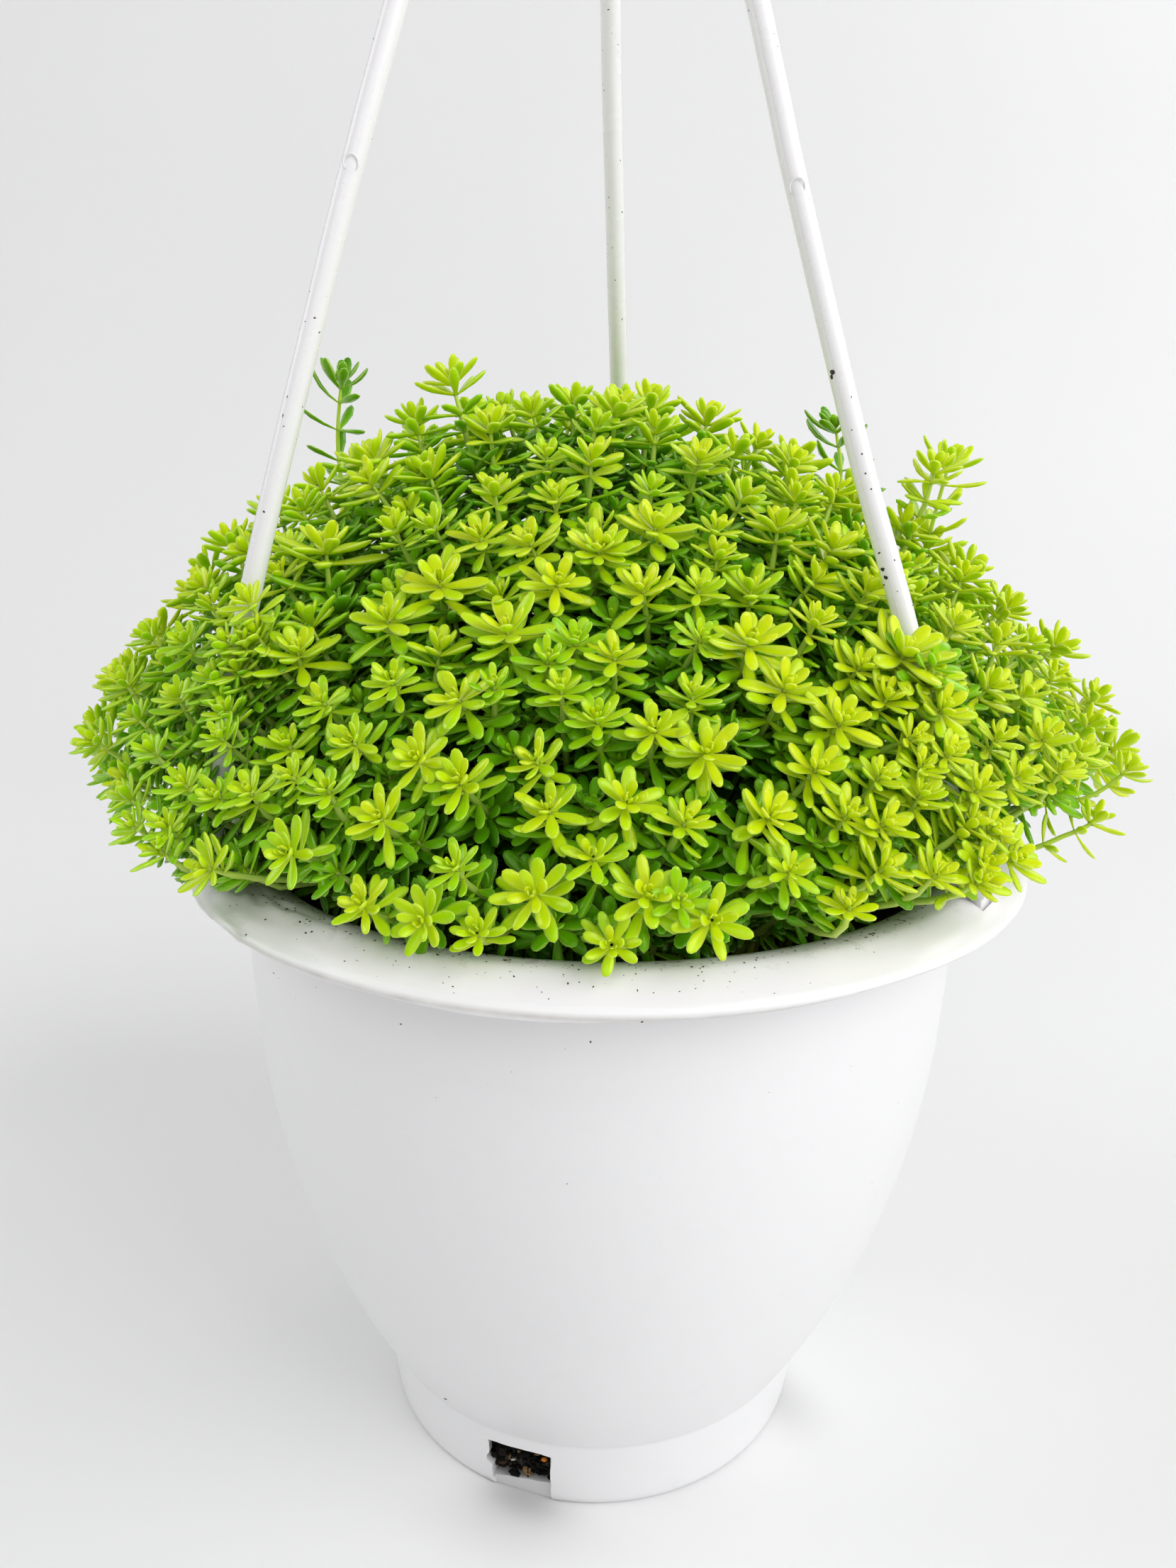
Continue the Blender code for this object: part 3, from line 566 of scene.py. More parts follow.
    # shallow step in the wall from the slot down to the table
    verts = []
    for r in (47.75, 56.0):
        for z in (-1.0, 4.6):
            for x in (-half + 0.6, half - 0.1):
                verts.append(tuple(r_dir * r + t_dir * x + Vector((0, 0, z))))
    cutters.append((verts, [(0, 1, 3, 2), (4, 6, 7, 5), (0, 4, 5, 1), (2, 3, 7, 6), (0, 2, 6, 4), (1, 5, 7, 3)]))
    for az in ARM_AZ:
        w = math.radians(az)
        rd, td = Vector((math.cos(w), math.sin(w), 0)), Vector((-math.sin(w), math.cos(w), 0))
        verts = []
        for r in (CLIP_R - 1.7, CLIP_R + 1.7):
            for z in (135.0, 146.0):
                for x in (-3.3, 3.3):
                    verts.append(tuple(rd * r + td * x + Vector((RIM_SHIFT, 0, z))))
        cutters.append((verts, [(0, 1, 3, 2), (4, 6, 7, 5), (0, 4, 5, 1), (2, 3, 7, 6), (0, 2, 6, 4), (1, 5, 7, 3)]))
    made = []
    for k, (v, f) in enumerate(cutters):
        me = bpy.data.meshes.new(f"cutter_{k}")
        me.from_pydata([tuple(c * MM for c in p) for p in v], [], f)
        bm = bmesh.new()
        bm.from_mesh(me)
        bmesh.ops.recalc_face_normals(bm, faces=bm.faces)
        bm.to_mesh(me)
        bm.free()
        ob = bpy.data.objects.new(f"cutter_{k}", me)
        bpy.context.scene.collection.objects.link(ob)
        mod = pot.modifiers.new(f"cut_{k}", "BOOLEAN")
        mod.operation, mod.solver, mod.object = "DIFFERENCE", "EXACT", ob
        made.append(ob)
    dg = bpy.context.evaluated_depsgraph_get()
    mesh = bpy.data.meshes.new_from_object(pot.evaluated_get(dg))
    pot.modifiers.clear()
    pot.data = mesh
    for ob in made:
        bpy.data.objects.remove(ob, do_unlink=True)
    # soil colour inside the drain slot: some dirt, and painted shade on the faces in the recess; the strip at its foot
    # lighter
    slot_soil_and_shade = mesh.attributes["dirt"].data if "dirt" in mesh.attributes else mesh.attributes.new("dirt", "FLOAT", "POINT").data
    for v in mesh.vertices:
        q = v.co / MM
        x, y = q.dot(t_dir), q.dot(r_dir)
        value = 0.0
        if abs(x) < 8.6 and y > 40 and q.z < 14:
            if y < foot_r(max(0.0, q.z)) - 0.75:
                value = 0.22 if q.z < 4.5 and y > 47.0 else 0.75
        slot_soil_and_shade[v.index].value = value
    mesh.shade_smooth()
    mesh.set_sharp_from_angle(angle=math.radians(40))
    mesh.materials.clear()
    mesh.materials.append(POT_PLASTIC)
    return pot


def flake(b, p, n, size, rnd, dirt=1.0):
    """A small flat crumb of soil that lies on a surface."""
    n = Vector(n).normalized()
    s = n.cross(Vector((0.3, 0.5, 0.81))).normalized()
    u = n.cross(s)
    turn = rnd.uniform(0, 6.3)
    stretch = rnd.uniform(0.9, 2.1)
    ring, verts = 7, []
    for k in range(ring):
        a = 2 * math.pi * k / ring
        r = size * 0.5 * rnd.uniform(0.7, 1.2)
        x, y = r * stretch * math.cos(a), r * math.sin(a)
        x, y = x * math.cos(turn) - y * math.sin(turn), x * math.sin(turn) + y * math.cos(turn)
        verts.append(tuple(Vector(p) + s * x + u * y - n * 0.04))
    verts.append(tuple(Vector(p) + n * size * 0.22))
    b.add(verts, [(k, (k + 1) % ring, ring) for k in range(ring)], dirt=dirt)


def pot_surface(px, py):
    """Point and outward direction of the pot's outer side seen at a pixel."""
    d = ray(px, py)
    best = None
    for k in range(2400):
        p = EYE + d * (120.0 + k * 0.1)
        r = math.hypot(p.x, p.y)
        if 0 < p.z < 18:
            R = foot_r(p.z)
        elif p.z < 136:
            R = body_r(p.z)
        elif p.z < 144:
            R = 89.0 - max(0.0, p.z - 138.6) * 1.7
        else:
            continue
        if r <= R:
            best = p
            break
    if best is None:
        return None
    out = Vector((best.x, best.y, 0)).normalized()
    if best.z > 138.4:
        out = (out + Vector((0, 0, 1.4))).normalized()
    return best, out


RIM_TOP = ((73.2, 138.8), (73.6, 140.0), (74.5, 141.0), (76.0, 141.8), (78.0, 142.5), (80.0, 142.9), (81.4, 143.0), (82.6, 142.75), (84.2, 142.0),
           (86.6, 140.65), (88.4, 139.35), (89.05, 138.3))
RIM_TOP_R, RIM_TOP_Z = [q[0] for q in RIM_TOP], [q[1] for q in RIM_TOP]


def build_specks():
    """Crumbs of soil on the rim and the upper body, as noted on the real pot, and a few more round it."""
    b, rnd = Build(), random.Random(5)
    noted = [(629, 1973, 0.75), (858, 1986, 0.35), (722, 1668, 0.4), (800, 1670, 0.35), (741, 1733, 0.4), (814, 1800, 0.45),
             (718, 1402, 0.35), (640, 1388, 0.4), (722, 1512, 0.45), (833, 1470, 0.6), (829, 1489, 0.4), (797, 1480, 0.3),
             (868, 1494, 0.35), (872, 1503, 0.3), (1027, 1605, 0.45), (793, 1528, 0.3), (1024, 1412, 0.3), (417, 1408, 0.35),
             (432, 1420, 0.3), (772, 1720, 0.3), (1095, 1394, 0.3), (906, 1442, 0.3), (565, 1445, 0.3), (688, 1530, 0.3)]
    for px, py, size in noted:
        hit = pot_surface(px, py)
        if hit:
            flake(b, hit[0], hit[1], size, rnd)
    # rim: denser on the ridge and in the throat, thinning down the skirt
    for k in range(1300):
        a = rnd.uniform(0, 2 * math.pi)
        if rnd.random() < 0.66:
            r = 74.2 + 7.6 * rnd.random() ** 0.75
            size = rnd.uniform(0.28, 0.72)
        else:
            r = 81.8 + 6.6 * rnd.random() ** 1.5
            size = rnd.uniform(0.20, 0.48)
        z0, z1 = np.interp((r - 0.3, r + 0.3), RIM_TOP_R, RIM_TOP_Z)
        nrm = Vector((-(z1 - z0) * math.cos(a), -(z1 - z0) * math.sin(a), 0.6))
        p = rim_true((r * math.cos(a), r * math.sin(a), (z0 + z1) / 2), r, (z0 + z1) / 2)
        flake(b, p, nrm, size, rnd)
    for k in range(110):
        a = rnd.uniform(0, 2 * math.pi)
        z = 136.0 - abs(rnd.gauss(0, 26.0))
        if z < 22:
            continue
        r = body_r(z)
        flake(b, (r * math.cos(a), r * math.sin(a), z), (math.cos(a), math.sin(a), 0), rnd.uniform(0.14, 0.34), rnd)
    ob = b.piece("soil_specks", POT_PLASTIC)
    return ob


# ---------------------------------------------------------------- hanger
BOWS = {
    206.0: ((CLIP_R, 144.4), (79.6, 171.2), (72.3, 199.7), (65.4, 223.6), (60.2, 240.8), (51.5, 270.9), (42.1, 297.5)),
    326.0: ((CLIP_R - 1.0, 144.4), (75.0, 168.1), (67.2, 191.9), (54.6, 224.9), (40.4, 267.9), (30.4, 298.5)),
    86.0: ((CLIP_R, 144.4), (77.5, 170.0), (69.5, 198.0), (60.0, 224.0), (48.6, 255.0), (35.5, 294.0)),
}


# small sideways corrections of the arms in the picture, by the picture's rows
NUDGE = {
    206.0: ((6, 100, 200, 300, 400, 500, 600, 850), (-10.4, -8.0, -5.4, -7.2, -9.8, -11.2, -11.2, -11.5)),
    326.0: ((6, 100, 200, 300, 400, 500, 600, 850), (-10.6, -13.8, -13.8, -12.8, -12.0, -10.8, -10.5, -11.0)),
    86.0: ((6, 100, 200, 300, 400, 500, 600), (-2.0, -3.8, -4.2, -3.2, -2.4, -1.2, -1.0)),
}


def arm_path(az, count):
    a = math.radians(az)
    pts = [(s * math.cos(a) + RIM_SHIFT, s * math.sin(a), z) for s, z in BOWS[az]]
    if az == 86.0:
        pts = [(6.2 - (z - 144.4) * 0.041 + 0.4, s * math.sin(a), z) for s, z in BOWS[az]]
    pts.append((HUB[0] + 5.0 * math.cos(a), HUB[1] + 5.0 * math.sin(a), HUB[2] + 0.5))
    path = smooth_path(pts, count)
    rows, shift = NUDGE[az]
    for i, q in enumerate(path):
        px, py, w = pixel(q)
        f = min(1.0, max(0.0, (q.z - 146.0) / 30.0)) * min(1.0, max(0.0, (HUB[2] - 6.0 - q.z) / 50.0))
        path[i] = q + RIGHT * (float(np.interp(py, rows, shift)) * f * w / FOCAL_PX)
    return path


ARMS = {az: arm_path(az, 240) for az in ARM_AZ}


def soft_box(centre, size, turn, bevel=0.5):
    """A box with rounded edges, turned about Z."""
    bm = bmesh.new()
    bmesh.ops.create_cube(bm, size=1.0)
    for v in bm.verts:
        v.co = Vector((v.co.x * size[0], v.co.y * size[1], v.co.z * size[2]))
    bmesh.ops.bevel(bm, geom=list(bm.edges), offset=bevel, segments=2, profile=0.5, affect="EDGES")
    c, s = math.cos(turn), math.sin(turn)
    verts = [(centre[0] + c * v.co.x - s * v.co.y, centre[1] + s * v.co.x + c * v.co.y, centre[2] + v.co.z) for v in bm.verts]
    bm.verts.index_update()
    faces = [tuple(v.index for v in f.verts) for f in bm.faces]
    bm.free()
    return verts, faces


def build_hanger():
    b, rnd = Build(), random.Random(8)
    for az in ARM_AZ:
        a = math.radians(az)
        path = smooth_path([tuple(p) for p in ARMS[az]], 72)
        radii = []
        for i, p in enumerate(path):
            f = i / (len(path) - 1)
            radii.append(2.10 + 0.30 * max(0.0, 1 - f / 0.03) + 0.5 * max(0.0, (f - 0.97) / 0.03)
                         + 0.035 * noise.noise(Vector((az, p.z * 0.05, 0.0))))
        v, f = tube(path, radii, 16)
        b.add(v, f, dirt=0.0)
        # faint parting line of the mould down both sides of the arm, not to be seen on the left one
        for sgn in ((-1, 1) if az != 206.0 else ()):
            line = []
            for p, (s, u, t) in list(zip(path, frames(path)))[2:-2]:
                out = Vector((-math.sin(a), math.cos(a), 0))
                out = (out - t * out.dot(t)).normalized() * sgn
                line.append(p + out * 2.07)
            v, f = tube(line, [0.07] * len(line), 4)
            b.add(v, f, dirt=0.0)
        cx, cy = CLIP_R * math.cos(a) + RIM_SHIFT, CLIP_R * math.sin(a)
        lean = RIM_LEAN * cx
        for centre, size in (((cx - 0.4 * math.cos(a), cy - 0.4 * math.sin(a), 144.65 + lean), (4.6, 8.4, 2.4)),
                             ((cx, cy, 140.4 + lean), (2.2, 5.4, 7.4)), ((cx, cy, 136.3 + lean), (3.6, 7.4, 2.2))):
            v, f = soft_box(centre, size, a)
            b.add(v, f, dirt=0.0)
    # round marks of the mould's ejector pins on the two front arms
    for az, px, py in ((206.0, 494.5, 229.0), (326.0, 1125.0, 263.5)):
        d = ray(px, py)
        best, point = 1e9, None
        for p in ARMS[az]:
            w = p - EYE
            off = (w - d * w.dot(d)).length
            if off < best:
                best, point = off, EYE + d * (w.dot(d) - 2.02)
        axis = (EYE - point).normalized()
        s = axis.cross(Vector((0, 0, 1))).normalized()
        u = axis.cross(s)
        ring = [point + s * (1.30 * math.cos(2 * math.pi * k / 28)) + u * (1.45 * math.sin(2 * math.pi * k / 28)) for k in range(29)]
        v, f = tube(ring, [0.17] * 29, 6, False)
        b.add(v, f, dirt=0.0)
    # hub, a small stepped disc
    z = HUB[2]
    prof = spline([(0.0, z - 3.0), (5.2, z - 3.0), (7.4, z - 2.6), (8.0, z - 1.2), (8.0, z + 1.2), (7.4, z + 2.4), (5.4, z + 3.0),
                   (3.9, z + 3.6), (3.3, z + 5.0), (3.0, z + 7.0)], 4) + [(0.0, z + 7.0)]
    v, f = turned(prof, 48)
    b.add([(p[0] + HUB[0], p[1] + HUB[1], p[2]) for p in v], f, dirt=0.0)
    z0 = HUB[2] + 3.0
    centre = z0 + 8.0 + HOOK_R
    line = [Vector((HUB[0], HUB[1], z0 - 1.0 + 9.0 * k / 6)) for k in range(7)]
    for k in range(1, 61):
        w = math.radians(-90 - 265 * k / 60)
        line.append(Vector((HUB[0] + HOOK_R * math.cos(w), HUB[1], centre + HOOK_R * math.sin(w))))
    radii = [3.1 - 0.6 * min(1.0, k / 6) for k in range(7)] + [HOOK_BAR - 0.6 * max(0.0, (k - 50) / 10) for k in range(1, 61)]
    tail = line[-1] + (line[-1] - line[-2]).normalized() * 1.0
    v, f = tube(line + [tail], radii + [0.9], 20)
    b.add(v, f, dirt=0.0)
    # crumbs and stains noted on the arms
    for az, px, py, size in ((206.0, 399, 588, 0.5), (206.0, 372, 722, 0.45), (206.0, 427, 574, 0.3), (206.0, 418, 620, 0.3),
                             (326.0, 1202, 607, 0.45), (326.0, 1174, 526, 1.1), (326.0, 1173, 532, 0.9), (326.0, 1245, 803, 1.1), (326.0, 1249, 815, 0.9),
           (326.0, 1246, 826, 0.6), (326.0, 1262, 790, 0.4), (326.0, 1201, 560, 0.35), (326.0, 1216, 640, 0.35),
                             (326.0, 1221, 668, 0.4), (326.0, 1229, 690, 0.35), (86.0, 878, 299, 0.4), (86.0, 868, 395, 0.3),
                             (86.0, 873, 470, 0.3), (326.0, 1240, 780, 0.35), (206.0, 405, 560, 0.3)):
        d = ray(px, py)
        best, hit = 1e9, None
        for p in ARMS[az]:
            w = p - EYE
            foot = EYE + d * w.dot(d)
            if (w - d * w.dot(d)).length < best:
                best = (w - d * w.dot(d)).length
                off = foot - p
                if off.length > 1.95:
                    off = off.normalized() * 1.95
                back = math.sqrt(max(0.0, 2.11 ** 2 - off.length ** 2))
                hit = (p + off - d * back, (off - d * back))
        flake(b, hit[0], hit[1], size, rnd)
    for k in range(90):
        az = rnd.choice(ARM_AZ)
        p = rnd.choice(ARMS[az][10:200])
        i = ARMS[az].index(p)
        t = (ARMS[az][i + 1] - ARMS[az][i - 1]).normalized()
        n = Vector((rnd.uniform(-1, 1), rnd.uniform(-1, 1), rnd.uniform(-1, 1)))
        n = (n - t * n.dot(t)).normalized()
        flake(b, p + n * 2.11, n, rnd.uniform(0.14, 0.32), rnd)
    return b.piece("planter_hanger", ARM_PLASTIC, 40)


# ---------------------------------------------------------------- potting mix
def build_mix():
    g = WALL + 0.7
    prof = [(0.0, 4.6), (42.0, 4.6), (45.0, 6.0), (47.0, 9.0), (49.0, 18.4)]
    prof += [(r - g, z) for z, r in BODY if 25.0 < z < 128.0] + [(73.0, 129.5)]
    b, rnd = Build(), random.Random(21)
    a = math.radians(SLOT_AZ)
    r_dir, t_dir = Vector((math.cos(a), math.sin(a), 0)), Vector((-math.sin(a), math.cos(a), 0))

    def hollow(p, r, z):
        # washed-out pocket behind the slot
        q = Vector(p)
        x, y = q.dot(t_dir), q.dot(r_dir)
        if y > 0 and z < 30:
            f = max(0.0, 1 - (abs(x) / 9.5) ** 4) * max(0.0, 1 - (abs(z - 8.5) / 8.5) ** 4)
            q -= r_dir * (3.4 * f)
        w = noise.noise(q * 0.25) * 0.25
        return (q.x * (1 - 0.004 + w * 0.004), q.y * (1 - 0.004 + w * 0.004), q.z)
    fine = []
    for p, q in zip(prof, prof[1:]):
        steps = max(1, int(math.hypot(q[0] - p[0], q[1] - p[1]) / (2.0 if p[1] < 20 and p[0] > 30 else 9.0)))
        fine += [(p[0] + (q[0] - p[0]) * k / steps, p[1] + (q[1] - p[1]) * k / steps) for k in range(steps)]
    top = [(73.0 - 73.0 * k / 26, SOIL_Z) for k in range(27)]

    def shape(p, r, z):
        if z >= SOIL_Z - 0.01 and r < 74:
            q = Vector(p)
            h = 1.7 * noise.noise(q * 0.11) + 1.1 * noise.noise(q * 0.31) + 0.5 * noise.noise(q * 0.8)
            return (q.x, q.y, SOIL_Z - 1.0 + h * min(1.0, (73.5 - r) / 3.0 + 0.3))
        return hollow(p, r, z)
    v, f = turned(fine + top, 120, shape)
    b.add(v, f, bits=np.zeros((len(v), 4)))

    def lump(c, size, colour, stretch=1.0):
        bm = bmesh.new()
        bmesh.ops.create_icosphere(bm, subdivisions=1, radius=1.0)
        off = rnd.uniform(0, 50)
        rot = Matrix.Rotation(rnd.uniform(0, 6), 3, Vector((rnd.random(), rnd.random(), rnd.random())).normalized())
        vs = []
        for vv in bm.verts:
            w = vv.co * (1 + 0.55 * noise.noise(vv.co * 1.3 + Vector((off, 0, 0))))
            w = Vector((w.x * stretch, w.y, w.z * 0.75))
            vs.append(tuple(rot @ w * size + Vector(c)))
        bm.verts.index_update()
        fs = [tuple(q.index for q in face.verts) for face in bm.faces]
        bm.free()
        b.add(vs, fs, bits=np.tile(np.array(colour, float), (len(vs), 1)))
    dark, brown, black = (0.009, 0.008, 0.006, 0.95), (0.045, 0.028, 0.016, 1.0), (0.004, 0.004, 0.003, 1.0)
    tan, orange, pale = (0.20, 0.125, 0.055, 1.0), (0.62, 0.20, 0.020, 1.0), (0.42, 0.40, 0.34, 1.0)
    for k in range(150):
        x = rnd.uniform(-7.6, 6.6)
        z = rnd.uniform(3.0 + 2.2 * (x + 7.0) / 14.0, 13.2)
        deep = rnd.uniform(45.6, 47.9)
        c = rnd.choice((dark, dark, dark, dark, dark, black, black, black, brown, tan) if rnd.random() < 0.5 else (dark, black))
        lump(r_dir * deep + t_dir * x + Vector((0, 0, z)), rnd.uniform(0.3, 0.95), c, rnd.uniform(0.8, 2.0))
    lump(r_dir * 48.6 + t_dir * 5.3 + Vector((0, 0, 10.9)), 0.62, orange, 1.3)
    lump(r_dir * 48.7 + t_dir * 3.6 + Vector((0, 0, 12.0)), 0.45, tan, 1.6)
    lump(r_dir * 48.6 + t_dir * -2.0 + Vector((0, 0, 8.4)), 0.40, pale, 2.0)
    lump(r_dir * 48.6 + t_dir * 0.8 + Vector((0, 0, 6.6)), 0.55, tan, 2.2)
    lump(r_dir * 47.8 + t_dir * -4.8 + Vector((0, 0, 6.0)), 0.60, brown, 1.8)
    for k in range(260):
        w, r = rnd.uniform(0, 2 * math.pi), 73.0 * math.sqrt(rnd.random())
        c = rnd.choice((dark, dark, brown, brown, tan, pale) if rnd.random() < 0.5 else (dark, brown))
        lump((r * math.cos(w), r * math.sin(w), SOIL_Z - 0.6 + rnd.uniform(-0.5, 0.9)), rnd.uniform(0.4, 1.5), c, rnd.uniform(0.8, 2.0))
    return b.piece("mix_in_pot", MIX, 60)


# ---------------------------------------------------------------- cushion outline
def edge_radius(phi):
    s = math.sin(phi)
    return DOME_SIDE + DOME_SKEW * math.cos(phi) - DOME_BACK_CUT * max(0.0, s) ** 2 - DOME_FRONT_CUT * max(0.0, -s) ** 2.2


def dome_power(phi):
    f = min(1.0, max(0.0, -math.sin(phi)) / 0.85)
    side = DOME_P_SIDE - DOME_P_SKEW * math.cos(phi)
    return side - (side - DOME_P_FRONT) * f * f * (3 - 2 * f)


LINES = {}


def outline(phi):
    key = int(round(math.degrees(phi) * 2)) % 720
    if key not in LINES:
        w = math.radians(key / 2)
        e, reach = 2 / dome_power(w), edge_radius(w)
        b = np.linspace(0, math.pi / 2, 60)
        r, z = reach * np.sin(b) ** e, DOME_H * np.maximum(0.0, np.cos(b)) ** e
        along = np.concatenate([[0.0], np.cumsum(np.hypot(np.diff(r), np.diff(z)))])
        LINES[key] = (r, z, along)
    return LINES[key]


def canopy(t, phi):
    r, z, along = outline(phi)
    want = max(0.0, t) * along[-1]
    if want >= along[-1]:
        rr, zz = r[-1] - 0.25 * (want - along[-1]), -0.9 * (want - along[-1])
    else:
        rr, zz = np.interp(want, along, r), np.interp(want, along, z)
    return Vector((DOME_AT[0] + rr * math.cos(phi), DOME_AT[1] + rr * math.sin(phi), DOME_Z0 + zz))


def canopy_normal(t, phi):
    e = 0.03
    a = canopy(t + e, phi) - canopy(max(0.0, t - e), phi)
    side = Vector((-math.sin(phi), math.cos(phi), 0))
    n = side.cross(a).normalized()
    out = Vector((math.cos(phi), math.sin(phi), 0.6))
    return n if n.dot(out) > 0 else -n


def depth_in(p):
    """Below 1 inside the cushion, 1 on its outline."""
    dx, dy, dz = p.x - DOME_AT[0], p.y - DOME_AT[1], p.z - DOME_Z0
    phi = math.atan2(dy, dx)
    P = dome_power(phi)
    u = (math.hypot(dx, dy) / edge_radius(phi)) ** P
    return u + (dz / DOME_H) ** P if dz > 0 else u + (-dz / 14.0) ** 2


def to_surface(px, py):
    """Place (t, phi) and point where the line of sight of a pixel first meets the cushion."""
    d = ray(px, py)
    best, where = 1e9, None
    for k in range(230):
        p = EYE + d * (135.0 + k * 1.3)
        g = depth_in(p)
        if g <= 1.0:
            best, where = g, p
            break
        if g < best:
            best, where = g, p
    phi = math.atan2(where.y - DOME_AT[1], where.x - DOME_AT[0])
    r, z, along = outline(phi)
    rho, h = math.hypot(where.x - DOME_AT[0], where.y - DOME_AT[1]), where.z - DOME_Z0
    i = int(np.argmin((r - rho) ** 2 + (z - h) ** 2))
    return float(along[i] / along[-1]), phi, where


def soil_point(t, phi):
    r = 60.0 * min(1.0, t) ** 0.92
    return Vector((r * math.cos(phi), r * math.sin(phi), SOIL_Z))


# ---------------------------------------------------------------- leaves
class LeafShape:
    """Unit leaf: rings of points along a spoon-shaped, thick blade with a rounded tip."""

    def __init__(self, around, stations, waist):
        s, th, width = [], [], []
        for x in stations:
            if x < 0.62:
                f = x / 0.62
                w = waist + (1 - waist) * f * f * (3 - 2 * f)
            else:
                w = max(0.0, 1 - ((x - 0.62) / 0.38) ** 2.25) ** 0.5
            for k in range(around):
                s.append(x)
                th.append(2 * math.pi * k / around)
                width.append(w)
        s.append(1.0)
        th.append(math.pi / 2)
        width.append(0.0)
        self.s, self.th, self.w = np.array(s), np.array(th), np.array(width)
        quads, tris, quv, tuv = [], [], [], []
        n = len(stations)
        for i in range(n - 1):
            for k in range(around):
                j = (k + 1) % around
                quads.append((i * around + k, i * around + j, (i + 1) * around + j, (i + 1) * around + k))
                u0, u1 = k / around, (k + 1) / around
                v0, v1 = stations[i], stations[i + 1]
                quv.append(((u0, v0), (u1, v0), (u1, v1), (u0, v1)))
        last = (n - 1) * around
        for k in range(around):
            j = (k + 1) % around
            tris.append((last + k, last + j, n * around))
            tuv.append(((k / around, stations[-1]), ((k + 1) / around, stations[-1]), ((k + 0.5) / around, 1.0)))
        self.quads, self.tris = np.array(quads), np.array(tris)
        self.quv, self.tuv = np.array(quv), np.array(tuv)
        self.count = len(self.s)


BIG = LeafShape(8, (0.0, 0.20, 0.42, 0.62, 0.82, 0.95), 0.44)
LOW = LeafShape(6, (0.0, 0.25, 0.52, 0.76, 0.93), 0.36)
TINY = LeafShape(5, (0.0, 0.32, 0.64, 0.89), 0.34)
BUD = LeafShape(6, (0.0, 0.35, 0.68, 0.90), 0.60)


def leaf_points(shape, rows):
    """Points (K, n, 3) and attributes of K leaves. A row is (foot, direction, upper side, length,
    width, bend, age, random, deep: the amount of painted shade)."""
    O = np.array([r[0][:] for r in rows]); D = np.array([r[1][:] for r in rows]); N = np.array([r[2][:] for r in rows])
    L, W, bend = (np.array([r[k] for r in rows])[:, None] for k in (3, 4, 5))
    S = np.cross(N, D)
    s, th, w = shape.s[None, :], shape.th[None, :], shape.w[None, :]
    b = np.where(np.abs(bend) < 1e-3, 1e-3, bend)
    x, z = L * np.sin(b * s) / b, L * (1 - np.cos(b * s)) / b
    half = 0.5 * W * w
    up = np.sin(th)
    thick = np.where(up > 0, 0.30, 0.52)
    # upper side: nearly flat with a soft keel, and slightly raised margins
    y = half * np.sign(np.cos(th)) * np.abs(np.cos(th)) ** 0.92
    zc = half * thick * up + 0.10 * half * np.abs(np.cos(th)) ** 2
    cb, sb = np.cos(b * s), np.sin(b * s)
    P = (O[:, None, :] + D[:, None, :] * (x - sb * zc)[..., None] + N[:, None, :] * (z + cb * zc)[..., None] + S[:, None, :] * y[..., None])
    K, n = P.shape[:2]
    edge = np.abs(np.cos(th)) * np.ones((K, 1))
    edge = np.where(s > 0.995, 1.0, edge)
    tip_near = np.clip((s - 0.90) / 0.10, 0, 1)
    edge = np.maximum(edge * (s > 0.18), tip_near * 0.97)
    col = np.stack([np.array([r[6] for r in rows])[:, None] * np.ones((1, n)), np.array([r[7] for r in rows])[:, None] * np.ones((1, n)),
                    s * np.ones((K, 1)), edge], -1)
    side = np.stack([np.clip(0.5 + 0.5 * up, 0, 1) * np.ones((K, 1)), np.zeros((K, n)),
                     np.array([r[8] for r in rows])[:, None] * np.ones((1, n)), np.ones((K, n))], -1)
    return P, col, side


def perpendicular(axis, angle):
    s = axis.cross(Vector((0.23, 0.11, 0.97)))
    if s.length < 1e-3:
        s = axis.cross(Vector((1, 0, 0)))
    s.normalize()
    u = axis.cross(s)
    return s * math.cos(angle) + u * math.sin(angle)


def leaf_row(foot, axis, turn, beta, length, width, bend, age, rnd, deep=0.0, roll=0.0):
    out = perpendicular(axis, turn)
    d = (axis * math.cos(beta) + out * math.sin(beta)).normalized()
    n = axis - d * axis.dot(d)
    if n.length < 1e-4:
        n = -out
    n.normalize()
    if roll:
        n = (n * math.cos(roll) + d.cross(n) * math.sin(roll)).normalized()
    return (foot + out * 0.45, d, n, length, width, bend, age, rnd, deep)


def painted_shade_amount(p):
    """Amount of painted shade: 0 at the cushion's outline, 1 from 30 mm inside it, less where more light falls on the
    flanks, the back and the top.
    """
    g = max(0.0, depth_in(p))
    phi = math.atan2(p.y - DOME_AT[1], p.x - DOME_AT[0])
    full = min(1.0, max(0.0, (1.0 - g ** (1.0 / dome_power(phi))) * 100.0 / 28.0 - 0.12))
    # painted light: the painted shade is lessened on the right and left flanks, at the back and near the top
    lit_sides = min(1.0, max(0.0, (p.x - 20.0) / 60.0)) * 0.80 + min(1.0, max(0.0, (-p.x - 30.0) / 60.0)) * 0.42 + min(1.0, max(0.0, p.y / 50.0)) * 0.2
    lit_sides += min(1.0, max(0.0, (p.z - 188.0) / 40.0)) * 0.22
    return full * (1.0 - min(0.85, lit_sides))


